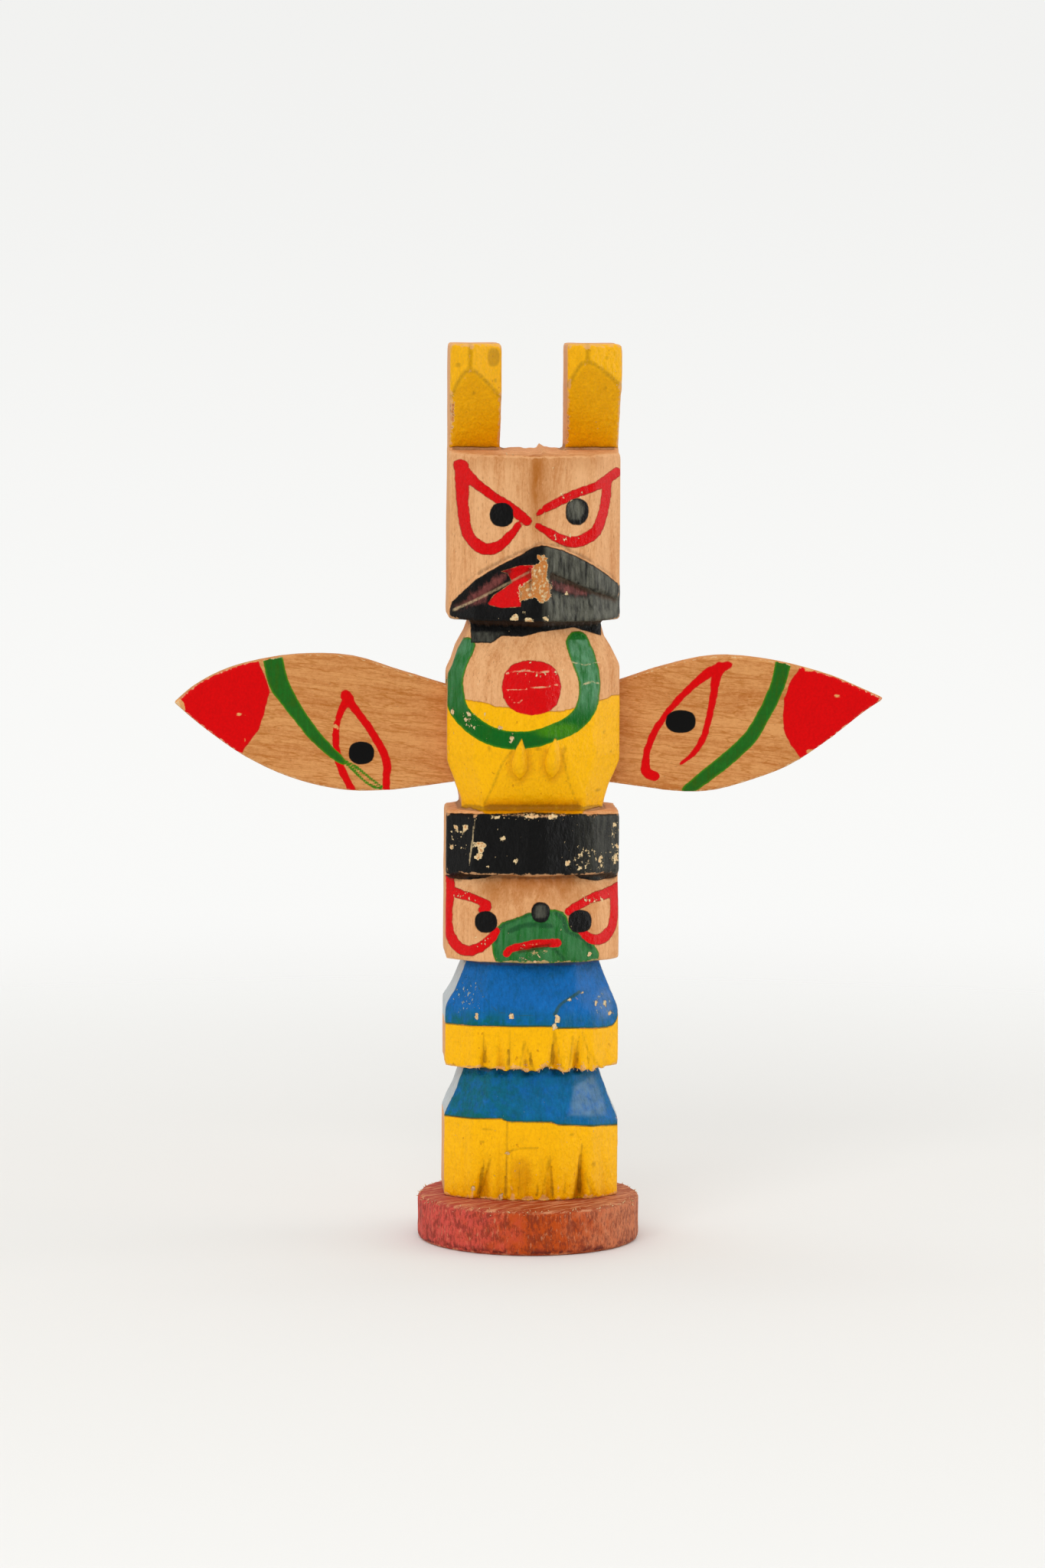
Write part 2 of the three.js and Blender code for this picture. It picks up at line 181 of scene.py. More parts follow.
# Dark lines of painted shade in the cuts and along the facet edges of the carving, with their widths in mm.
CREASE_SHADES = [
    ([(-3.4, 77.4), (-4.7, 75.6), (-6.1, 72.1), (-7.5, 68.8)], 0.3),
    ([(4.4, 77.2), (5.7, 72.1), (7.1, 68.8)], 0.3), ([(-3.5, 33.9), (-3.4, 27.6)], 0.25),
    ([(-7.4, 33.4), (-7.6, 27.8)], 0.2), ([(-1.2, 32.3), (-1.9, 27.6)], 0.25),
    ([(-1.1, 32.1), (0.4, 27.6)], 0.25), ([(3.5, 33.8), (2.8, 27.6)], 0.3),
    ([(3.6, 33.6), (4.8, 27.6)], 0.2), ([(6.4, 32.9), (5.9, 28.4)], 0.3),
    ([(7.9, 33.5), (8.9, 30.4), (10.8, 27.8)], 0.2), ([(-3.8, 19.4), (-3.7, 7.2)], 0.22),
    ([(-6.3, 13.6), (-7.8, 7.4)], 0.35), ([(-1.9, 12), (-1.5, 7.4)], 0.2), ([(2.8, 14), (1.7, 7.4)], 0.25),
    ([(2.9, 13.6), (3.5, 7.4)], 0.2), ([(8, 15.9), (6.8, 7.4)], 0.3), ([(8.4, 11.4), (9.7, 7.4)], 0.25),
    ([(-3.7, 14.6), (-2.4, 15.2), (1.1, 15.4)], 0.3), ([(-5.5, 18), (-7.5, 18.2)], 0.25),
]
# Dark lines of painted shade along the edge of the flat facet on the upper skirt.
SKIRT_FOLDS = [
    ([(3.5, 36.4), (4.4, 37.8), (5.6, 38.6), (7.4, 39.7)], 0.5),
    ([(-8.5, 40.9), (-6.7, 38.1), (-4, 36.4), (3.1, 36.4)], 0.16),
]
# Knife cuts in the two fringes: top, bottom, half width and depth of dark paint, in mm.
FRINGE_CUTS = [
    ((-7.4, 33.2), (-7.6, 27.2), 0.9, 0.4), ((-5, 33.6), (-4.9, 27.2), 1.5, 0.6),
    ((-1.2, 32.3), (-0.8, 27.1), 1.1, 0.5), ((3.5, 33.9), (3.8, 27.1), 1.1, 0.65),
    ((6.5, 33), (6.9, 27.2), 1.0, 0.7), ((9.3, 31), (9.8, 27.4), 0.8, 0.35),
    ((-6.2, 14.5), (-7.6, 6.8), 1.5, 0.8), ((-3.2, 19), (-2.9, 6.8), 1.0, 0.4),
    ((-1, 14), (-0.6, 6.8), 1.1, 0.5), ((2.8, 14.5), (2.6, 6.8), 1.1, 0.6),
    ((8.1, 16.5), (7.4, 6.8), 1.5, 0.9), ((8.6, 12), (9.9, 6.8), 0.8, 0.4),
    ((-5, 20), (-4.9, 6.8), 1.3, 0.4), ((1.9, 19), (1.9, 6.8), 1.4, 0.35),
    ((-10.5, 18), (-10.2, 6.8), 1.6, 0.25), ((10.9, 19), (11.6, 6.8), 1.3, 0.3),
    ((-10.2, 33.5), (-10.3, 27), 1.2, 0.2), ((11.6, 33), (11.9, 27), 1.0, 0.25),
]
# How much deeper the wood is cut than its paint darkens.
CUT_GAIN = 1.4
# A splinter that stands on the ledge: its place across, half width and height, in mm.
LEDGE_SPLINTER = (1.5, 0.35, 0.7)
# Painted shadow in the mouth's groove, and in a crease on the right of the beak.
MOUTH_SHADOW = [
    (-12.5, 98.8), (-10.9, 100.9), (-8.1, 103.3), (-5.5, 105), (-3.6, 105.8), (-4.1, 103.4), (-6.6, 101.4),
    (-7.3, 100), (-9.6, 99.4),
]
CHEEK_SHADOW = [(2.5, 104.1), (6, 103.4), (9.8, 101.4), (7.4, 101.1), (4.4, 101.4), (2.5, 102.1)]
# A paler facet low on the right of the second blue skirt: a painted highlight.
PALE_FACET_HIGHLIGHT = [(5.4, 20.2), (6.5, 25), (10, 26.4), (11.8, 22.6), (12.5, 19.5)]
# A painted highlight along the mouth's groove, with its width in mm.
MOUTH_HIGHLIGHT = ([(-12.3, 98.9), (-7, 101.7), (-0.6, 105.3)], 0.34)
# Places where paint is sheer, dulled or grey, and the painted sheen on the right pupil: (x, z) in mm and
# radii.
SHEER_ARM = ((3.6, 80.7), 4.6, 1.5)
SHEER_CORNER = ((11.4, 37.4), 1.7, 2.8)
OCHRE_SPOT = ((-1.4, 11), 2.2, 4)
EYE_SHEEN = ((6.2, 114.7), 1.45, 1.7)
GREY_NOSE = ((1.2, 52.5), 1.1, 1.2)
# Chips where the paint has come off the pole: (x, z) in mm and radii.
CHIPS = [
    ((-3.1, 98.1), 0.5, 0.4), ((-1, 97.7), 0.6, 0.35), ((1.6, 98), 0.5, 0.35), ((5.1, 101.8), 0.35, 0.3),
    ((-1.7, 98.9), 0.3, 0.3), ((-11.9, 65.2), 0.35, 0.3), ((-10.4, 65.3), 0.4, 0.35),
    ((-11.1, 64.5), 0.5, 0.25), ((-12.3, 62.1), 0.35, 0.45), ((-8, 62.7), 0.85, 0.45),
    ((-8.1, 62), 0.5, 0.5), ((-8.4, 60.9), 0.6, 0.45), ((-9.1, 62.9), 0.25, 0.2),
    ((-4.6, 63.9), 0.35, 0.25), ((-2.8, 60.4), 0.35, 0.35), ((-7, 59.3), 0.25, 0.2), ((5.3, 60), 0.35, 0.3),
    ((6.6, 60.5), 0.5, 0.3), ((7.3, 61.2), 0.4, 0.25), ((8.3, 61.8), 0.3, 0.25), ((8.8, 59.9), 0.25, 0.3),
    ((7.3, 59.2), 0.5, 0.3), ((10.5, 60.4), 0.3, 0.55), ((10.8, 59.3), 0.2, 0.25), ((13.2, 60.4), 0.4, 0.9),
    ((13.3, 62.1), 0.3, 0.4), ((12.9, 65.4), 0.35, 0.4), ((-5.8, 67.2), 0.6, 0.3),
    ((-0.6, 67.4), 1.1, 0.25), ((2.9, 67.3), 0.8, 0.3), ((-3.2, 36.2), 0.35, 0.4), ((3.9, 35.7), 0.4, 0.9),
    ((3.5, 34.5), 0.3, 0.45), ((-8.6, 35.9), 0.25, 0.35), ((5.8, 38.6), 0.2, 0.25),
    ((7.9, 39.4), 0.25, 0.3), ((11.6, 37.5), 0.3, 0.5), ((12.5, 35.9), 0.5, 0.3), ((10.1, 37.7), 0.3, 0.4),
    ((-10.2, 82), 0.45, 0.35), ((-9.9, 83), 0.3, 0.3), ((-5.2, 81), 0.35, 0.35), ((-3.5, 79.3), 0.3, 0.6),
    ((-12.5, 83), 0.3, 0.4), ((-3.7, 14.6), 0.35, 0.2), ((-9, 8.7), 0.3, 0.3), ((-4.6, 7.6), 0.3, 0.5),
    ((0.4, 44.8), 0.5, 0.25), ((-1.5, 45.2), 0.35, 0.25), ((9, 45.6), 0.25, 0.3),
]
BARE_SPOTS = [((-12.8, 129.1), 0.45, 2.0), ((5.2, 126.8), 0.35, 2.2)]
PITS = [
    ((-6.4, 138), 0.95, 1.45), ((-11.8, 136.8), 0.4, 0.35), ((-9.4, 132.5), 0.32, 0.26),
    ((-6.1, 134.4), 0.25, 0.3), ((10.9, 133.3), 0.2, 0.32), ((11, 138), 0.25, 0.25),
    ((-6.9, 88.2), 0.2, 0.2), ((11, 80.2), 0.18, 0.25), ((12.2, 77), 0.2, 0.2), ((0.6, 77.8), 0.5, 0.3),
    ((4.8, 77.8), 0.25, 0.4), ((-6.8, 77.8), 0.2, 0.45), ((10.2, 71), 0.45, 0.25), ((9.8, 12.5), 0.3, 0.45),
    ((-7.6, 16.2), 0.35, 0.2), ((6.3, 17.4), 0.3, 0.2), ((-1, 28.9), 0.3, 0.4),
]
# Places where the paint is speckled with tiny chips: (x, z) in mm and radii.
SPECKLED = [
    ((8.5, 60.5), 4.5, 3), ((-11.4, 63.5), 2.2, 3.2), ((13, 62), 1.6, 5.5), ((11.2, 37.4), 2.6, 3.2),
    ((-10, 39), 3.5, 4.0), ((-0.5, 45.6), 3.5, 1.3), ((0, 67.2), 13, 0.8), ((-9, 82), 4, 2.5),
    ((0, 89.6), 5, 0.9), ((5.6, 116.8), 4.5, 1.4), ((4.5, 110.6), 3.5, 1.2), ((-10, 54.6), 3, 1.2),
    ((-7.6, 47.2), 2.5, 1.6), ((9.5, 54.2), 4, 1.2), ((-1.5, 47), 3, 0.9),
]
SCRATCHES = [
    ([(-9, 66.6), (-9.3, 63.6), (-9.8, 59.4)], 0.2),
    ([(-4.2, 89.5), (-2.7, 89.7), (-1.1, 90), (0.4, 89.6), (2.2, 89.8)], 0.3),
    ([(-4.4, 86.8), (-0.9, 87.2), (3.6, 87.7)], 0.24), ([(-3.9, 85.9), (-2.8, 84.8), (-1.9, 85.4)], 0.22),
    ([(7.4, 87.6), (8.7, 88), (10, 87.9)], 0.3), ([(5.8, 91.2), (7.6, 90.7), (10.1, 91)], 0.24),
]
BARE_PATCH = [
    (0.4, 108.1), (1.7, 107.5), (1.9, 104.6), (2.7, 102.6), (2.1, 100.9), (1, 100.3), (0, 101.3),
    (-2.2, 100.6), (-2.5, 102.6), (-0.5, 104.2), (-0.6, 106.1), (0.6, 106.5),
]

# The painted picture on each wing's front, as (x, z) in mm.
LEFT_WING = {
    "tip": [(-60, 92), (-42.5, 90.6), (-41.2, 87.7), (-40.7, 85.8), (-41.6, 82.5), (-42.3, 79.9),
            (-44.6, 76.9), (-45.4, 75.3), (-60, 74)],
    "green": ([(-40.2, 90.6), (-39.3, 87.1), (-37.5, 84.1), (-35.7, 81.5), (-33.5, 78.7), (-31.5, 76.7),
               (-30.1, 75.5), (-29.2, 74.7)], [3.1, 3.1, 2.5, 2.1, 1.9, 1.6, 1.3, 0.8]),
    "strands": [([(-29.6, 75.2), (-27.9, 73.7), (-25.8, 71.7), (-24.4, 70.9), (-23.4, 70.6)], 0.42),
                ([(-29.2, 75.1), (-27.2, 74), (-25.2, 72.4), (-23.2, 70.9)], 0.4)],
    "red": [([(-28.4, 84.7), (-27.7, 83.5), (-25.9, 81.1), (-24.3, 78.7), (-23, 76.3), (-22.4, 74.3),
              (-22.5, 72.4), (-22.5, 70.2)], [1.5, 1.3, 1.2, 1.2, 1.25, 1.3, 1.2, 1.2]),
            ([(-28.8, 84.3), (-29.5, 82.9), (-30, 81.7)], [1.3, 1.1, 1.0]),
            ([(-30.2, 81), (-30.4, 79.4), (-30.3, 76.7), (-29.7, 74.3), (-28.8, 72.2), (-27.7, 70)],
             [1.0, 1.0, 1.1, 1.2, 1.2, 1.2])],
    "red_dab": ((-28.8, 85.2), 0.85, 0.85),
    "pupil": ((-26.4, 76.2), 2.0, 1.8),
    "scuffs": [((-45.4, 82.2), 0.6, 0.18), ((-55.4, 82.8), 1.6, 1.8), ((-44.5, 78.2), 0.12, 0.3),
               ((-30.3, 80.3), 0.5, 0.35)],
}
RIGHT_WING = {
    "tip": [(60, 92), (42.3, 90.6), (42.1, 89.6), (40.7, 87.7), (39.7, 84.8), (39.5, 82.2), (39.8, 79.5),
            (40.8, 77.5), (42, 76), (42.8, 74.6), (60, 74)],
    "green": ([(39.6, 90.9), (38.9, 87.7), (37.8, 84.8), (36.5, 82.2), (35, 79.5), (33, 77.2), (30.3, 74.8),
               (27.5, 72.6), (24.7, 70.4)],
              [2.5, 2.3, 2.2, 2.1, 2.2, 2.2, 2.2, 2.1, 1.8]),
    "strands": [([(31.5, 76.2), (27.5, 73), (24.2, 70.5)], 0.3)],
    "red": [([(30.2, 89.8), (27.9, 88.9), (25.3, 86.8), (23.3, 84.8), (21.3, 82.4), (19.5, 79.7),
              (18.5, 77.4), (18.1, 75.2), (18.2, 73.3), (19.5, 72.6)],
             [1.5, 1.6, 1.2, 1.05, 1.0, 1.05, 1.1, 1.2, 1.6, 1.5]),
            ([(29.6, 89.6), (29, 88.3), (28.7, 85.9), (28.2, 83), (27.6, 80.3), (26.8, 78.1), (25.4, 76),
              (23.6, 74.6)], [1.9, 1.6, 1.2, 1.0, 1.0, 1.0, 0.8, 0.4])],
    "red_dab": ((30.8, 90.1), 0.8, 0.6),
    "pupil": ((23.5, 81.2), 2.4, 1.8),
    "scuffs": [((48.3, 85.2), 0.4, 0.14), ((43.9, 76.6), 0.7, 0.3), ((43.4, 89.4), 0.7, 0.3)],
}


def from_card(*card):
    """A linear colour from a paint card's red, green and blue of 0 to 255."""
    parts = [value / 255 for value in card]
    return [part / 12.92 if part <= 0.04045 else ((part + 0.055) / 1.055) ** 2.4 for part in parts]


# Settings

def length(name, text, millimetres):
    return FloatProperty(name=name, description=text, default=millimetres * MM, min=0.0, unit="LENGTH",
                         subtype="DISTANCE", precision=5)


def colour(name, text, *card):
    return FloatVectorProperty(name=name, description=text, default=from_card(*card), size=3, min=0.0,
                               max=1.0, subtype="COLOR")


class TotemSizes(bpy.types.PropertyGroup):
    pole_cell: length("Pole Cell", "Spacing of the pole's surface points", 0.4)
    wing_cell: length("Wing Cell", "Spacing of each wing's surface points", 0.3)
    base_cell: length("Base Cell", "Spacing of the base's surface points", 0.32)
    knife_marks: length("Knife Marks", "Depth of the shallow waves that the knife leaves", 0.07)
    paint_thickness: length("Paint Thickness", "How far the paint stands above the wood", 0.05)
    chip_depth: length("Chip Depth", "How far a chip goes below the paint", 0.09)
    dent_depth: length("Dent Depth", "Depth of the dents in the yellow paint", 0.2)
    talon_height: length("Talon Height", "How far the talons stand out", 0.45)
    corner_wear: length("Corner Wear", "How far the pole's worn corners are rounded", 0.12)
    wing_wear: length("Wing Wear", "How far the wings' worn edges are rounded", 0.1)
    seam_width: length("Seam Width", "Half width of the dark line between the blue and the yellow", 0.16)
    ragged_edge: length("Ragged Edge", "How far the torn lower edge of the fringe wanders", 0.4)
    saw_marks: length("Saw Marks", "Depth of the saw's lines on the base", 0.07)
    rim_fibres: length("Rim Fibres", "Depth of the fibres on the base's side", 0.14)
    rim_dents: length("Rim Dents", "Depth of the dents in the base's side", 0.08)
    rim_chips: length("Rim Chips", "Depth of the chips along the base's edges", 0.16)
    fibre_length: length("Fibre Length", "Length of a torn wood fibre", 0.4)
    fibre_thickness: length("Fibre Thickness", "Thickness of a torn wood fibre at its root", 0.09)


class TotemColours(bpy.types.PropertyGroup):
    pale_wood: colour("Pale Wood", "Light wood between the grain lines", 239, 183, 130)
    grain_wood: colour("Grain Wood", "Darker wood of the grain lines", 202, 131, 73)
    # Also the colour of the painted shade under the black band.
    stained_wood: colour("Stained Wood", "Wood darkened by stain and handling", 178, 104, 34)
    chipped_wood: colour("Chipped Wood", "Fresh wood where the paint has chipped off", 232, 206, 158)
    crumb_wood: colour("Crumb Wood", "Darker crumbs of wood in a chipped place", 198, 124, 60)
    side_wash: colour("Side Wash", "Thin pale wash on the skirts' sides", 190, 205, 212)
    yellow: colour("Yellow", "Yellow paint", 255, 188, 0)
    # Also the colour of the painted shade on the yellow paint.
    deep_and_shaded_yellow: colour("Deep Yellow", "Yellow paint where it lies thick or dirty", 220, 148, 0)
    blue: colour("Blue", "Blue paint", 12, 100, 172)
    teal: colour("Teal", "Blue paint where it is thin over yellow", 0, 98, 98)
    green: colour("Green", "Green paint", 8, 98, 24)
    thin_green: colour("Thin Green", "Green paint where it is thin", 62, 130, 10)
    # The colour of the painted shade on the muzzle.
    shaded_green: colour("Dark Green", "Green paint where the brush left it thick", 14, 66, 34)
    red: colour("Red", "Red paint", 219, 0, 4)
    thin_red: colour("Thin Red", "Red paint at the edge of a stroke", 208, 16, 18)
    # The colour of the painted shadow in the mouth.
    mouth_shade_red: colour("Dusky Red", "Red paint dulled by black", 124, 66, 62)
    pale_green: colour("Pale Green", "Green paint brushed out thin on the arms", 104, 158, 120)
    black: colour("Black", "Black paint", 12, 12, 12)
    # Also the painted sheen on the black facets that face right.
    grey_and_sheen_black: colour("Charcoal", "Black paint where it is worn to grey", 104, 104, 92)
    # The colour of the painted shade along the creases and ridges, and of the dark pits.
    olive: colour("Olive", "Thin dark lines in the creases of the carving", 128, 88, 6)
    # Also the colour of the painted shade along the skirt's facet edge.
    seam: colour("Seam", "Dark line where the blue and the yellow meet", 48, 78, 24)
    wing_wood: colour("Wing Wood", "Light wood of the wings", 224, 160, 98)
    wing_grain: colour("Wing Grain", "Grain lines of the wings", 184, 108, 48)
    base_red: colour("Base Red", "Pinkish-red stain of the base", 212, 80, 68)
    base_brown: colour("Base Brown", "Orange-brown stain of the base", 190, 74, 6)
    base_pale: colour("Base Pale", "Fibres of the base that the stain missed", 218, 150, 108)
    base_dark: colour("Base Dark", "Stain of the base where it pooled", 111, 39, 22)
    base_edge: colour("Base Edge", "Dark lower edge of the base", 85, 22, 18)
    pore: colour("Pore", "Dark pores of the wood", 97, 63, 39)
    # Also the colour of the painted shade in the creases.
    dirt: colour("Dirt", "Grime that gathers in creases", 70, 40, 14)
    floor: colour("Floor", "Pale floor", 241, 241, 239)


class TotemSettings(bpy.types.PropertyGroup):
    sizes: PointerProperty(type=TotemSizes)
    colours: PointerProperty(type=TotemColours)
    fibre_count: IntProperty(name="Fibre Density", default=260, min=0,
                             description="Torn fibres for each square centimetre of frayed edge")
    seed: IntProperty(name="Seed", default=7, min=0, description="Changes where torn fibres grow")


# Points, noise and strokes

def read_vectors(items, name):
    flat = np.empty(len(items) * 3, np.float32)
    items.foreach_get(name, flat)
    return flat.reshape(-1, 3).astype(float)


def write_points(mesh, points):
    mesh.vertices.foreach_set("co", (points * MM).astype(np.float32).ravel())
    mesh.update()


def read_edges(mesh):
    flat = np.empty(len(mesh.edges) * 2, np.int32)
    mesh.edges.foreach_get("vertices", flat)
    return flat.reshape(-1, 2)


def neighbour_mean(values, edges):
    """The mean of each point's neighbours, for one value or three at each point."""
    columns = values.reshape(len(values), -1)
    count = np.bincount(edges.ravel(), minlength=len(values))
    total = np.empty_like(columns)
    for i in range(columns.shape[1]):
        column = columns[:, i]
        total[:, i] = np.bincount(edges[:, 0], column[edges[:, 1]], len(values))
        total[:, i] += np.bincount(edges[:, 1], column[edges[:, 0]], len(values))
    return (total / np.maximum(count, 1)[:, None]).reshape(values.shape)


def relax(points, edges, strength, turns):
    for _ in range(turns):
        points = points + strength * (neighbour_mean(points, edges) - points)
    return points


def chance_noise(points, size, seed):
    """Smooth noise from -1 to 1; size in mm is one number or one for each axis."""
    table = np.random.default_rng(seed).uniform(-1.0, 1.0, NOISE_VALUES)
    place = points / np.asarray(size, float)
    cell = np.floor(place).astype(np.int64)
    part = place - cell
    part = part * part * (3 - 2 * part)
    total = np.zeros(len(points))
    for corner in product((0, 1), repeat=3):
        key = np.bitwise_xor.reduce((cell + corner) * NOISE_STEPS, axis=1)
        weight = np.prod(np.where(corner, part, 1 - part), axis=1)
        total += weight * table[key & (NOISE_VALUES - 1)]
    return total


def mixed_noise(points, coarse, fine, seed):
    """Coarse noise with finer noise over it."""
    return 0.6 * chance_noise(points, coarse, seed) + 0.4 * chance_noise(points, fine, seed + 1)


def ramp(values, low, high):
    """0 below low, 1 above high, and smooth between."""
    t = np.clip((values - low) / (high - low), 0.0, 1.0)
    return t * t * (3 - 2 * t)


def between(values, low, high):
    return (values > low) & (values < high)


def bell(values, middle, width):
    """1 at the middle, falling off smoothly to both sides."""
    return np.exp(-((values - middle) / width) ** 2)


def smooth_path(path, steps=5):
    """A smooth run of points through the given ones, each with its width."""
    path = np.asarray(path, float)
    if len(path) < 3:
        return path
    ends = np.vstack([2 * path[0] - path[1], path, 2 * path[-1] - path[-2]])
    run = []
    for a, b, c, d in zip(ends, ends[1:], ends[2:], ends[3:]):
        for t in np.arange(steps) / steps:
            run.append(0.5 * (2 * b + (c - a) * t + (2 * a - 5 * b + 4 * c - d) * t ** 2
                              + (3 * b - a - 3 * c + d) * t ** 3))
    run.append(path[-1])
    return np.array(run)


def beside(flat, a, b):
    """Each point's share of the way along a segment, from 0 to 1, and its distance from the segment."""
    side = b - a
    t = np.clip((flat - a) @ side / max(side @ side, TINY), 0.0, 1.0)
    return t, np.linalg.norm(flat - a - t[:, None] * side, axis=1)


def stroke(flat, path, width):
    """Distance in mm from a brush stroke's edge, above 0 inside it."""
    widths = np.broadcast_to(np.asarray(width, float), (len(path),))
    run = smooth_path(np.column_stack([np.asarray(path, float), widths]))
    best = np.full(len(flat), -FAR)
    for a, b in zip(run, run[1:]):
        t, gap = beside(flat, a[:2], b[:2])
        best = np.maximum(best, (a[2] + t * (b[2] - a[2])) / 2 - gap)
    return best


def dab(flat, centre, across, up):
    """Distance in mm from the edge of an oval dab of paint, above 0 inside it."""
    spread = np.abs((flat - centre) / (across, up)) ** DAB_SQUARENESS
    return (1 - spread.sum(axis=1) ** (1 / DAB_SQUARENESS)) * min(across, up)


def patch(flat, corners):
    """Distance in mm from the edge of a closed patch, above 0 inside it."""
    corners = np.asarray(corners, float)
    best = np.full(len(flat), FAR)
    inside = np.zeros(len(flat), bool)
    for a, b in zip(corners, np.roll(corners, -1, axis=0)):
        best = np.minimum(best, beside(flat, a, b)[1])
        crosses = (a[1] > flat[:, 1]) != (b[1] > flat[:, 1])
        if a[1] != b[1]:
            inside ^= crosses & (flat[:, 0] < a[0] + (flat[:, 1] - a[1]) * (b[0] - a[0]) / (b[1] - a[1]))
    return np.where(inside, best, -best)


def above(flat, line):
    """Height in mm above a line that runs across the piece."""
    line = np.asarray(line, float)
    return flat[:, 1] - np.interp(flat[:, 0], line[:, 0], line[:, 1])


def fringe_cuts(flat):
    """Depth in mm of the V-shaped cuts, which widen and deepen towards their lower ends."""
    steep, shallow, narrowest, end = -1.5, 0.8, 0.05, 1.1
    deepest = np.zeros(len(flat))
    for (top_x, top_z), (low_x, low_z), half, depth in FRINGE_CUTS:
        t = (top_z - flat[:, 1]) / (top_z - low_z)
        middle = top_x + t * (low_x - top_x)
        side = (flat[:, 0] - middle) / np.maximum(half * t, narrowest)
        slope = np.clip(1 - np.where(side < 0, steep * side, shallow * side), 0, 1)
        deepest = np.maximum(deepest, slope * depth * np.clip(t, 0, 1) * (t < end))
    return deepest


def any_of(*fields):
    return np.maximum.reduce(fields)


def all_of(*fields):
    return np.minimum.reduce(fields)


def union(shape, flat, items):
    """The distance inside any one of many strokes or dabs."""
    return any_of(*[shape(flat, *item) for item in items])


# Mesh pieces

def new_object(name, data):
    thing = bpy.data.objects.new(name, data)
    bpy.context.scene.collection.objects.link(thing)
    return thing


def finished_mesh(holder):
    """The mesh that an object's modifiers make; the object itself is taken away."""
    evaluated = holder.evaluated_get(bpy.context.evaluated_depsgraph_get())
    mesh = bpy.data.meshes.new_from_object(evaluated)
    holder.modifiers.clear()
    bpy.data.objects.remove(holder)
    return mesh


def dense_skin(node, cell):
    """A finely divided closed copy of a CAD solid, with its points in mm, normals and hollows."""
    shape = bmesh.new()
    shape.from_mesh(NODES[node].data)
    bmesh.ops.remove_doubles(shape, verts=shape.verts, dist=WELD)
    tree = BVHTree.FromBMesh(shape)
    solid = bpy.data.meshes.new(node + "_solid")
    shape.to_mesh(solid)
    shape.free()
    holder = new_object(node + "_holder", solid)
    skin = holder.modifiers.new("Skin", "REMESH")
    skin.mode = "VOXEL"
    skin.voxel_size = cell
    skin.use_smooth_shade = True
    mesh = finished_mesh(holder)
    edges = read_edges(mesh)
    half_way = 0.5
    points = relax(read_vectors(mesh.vertices, "co"), edges, half_way, turns=2)
    for _ in range(2):
        points = np.array([tree.find_nearest(Vector(point))[0] for point in points])
        points = relax(points, edges, half_way, turns=1)
    write_points(mesh, points / MM)
    points = read_vectors(mesh.vertices, "co") / MM
    normals = read_vectors(mesh.vertices, "normal")
    return mesh, points, normals, hollows(points, normals, edges)


def new_piece(name, mesh, material, node):
    """Puts a finished mesh in the scene, in place of its CAD solid where it has one."""
    mesh.name = name
    mesh.materials.clear()
    mesh.materials.append(material)
    for face in mesh.polygons:
        face.use_smooth = True
    piece = new_object(name, mesh)
    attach(piece, "root")
    if node:
        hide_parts(node)


def write_fields(mesh, **fields):
    for name, values in fields.items():
        field = mesh.attributes.new(name, "FLOAT", "POINT")
        field.data.foreach_set("value", np.clip(values, -FIELD_LIMIT, FIELD_LIMIT).astype(np.float32))


def hollows(points, normals, edges):
    """Above 0 in creases and below 0 on edges, about 1 at the sharpest."""
    bend = np.einsum("ij,ij->i", neighbour_mean(points, edges) - points, normals)
    for _ in range(3):
        bend = 0.5 * bend + 0.5 * neighbour_mean(bend, edges)
    return np.clip(bend / SHARP_BEND, -1.5, 1.5)


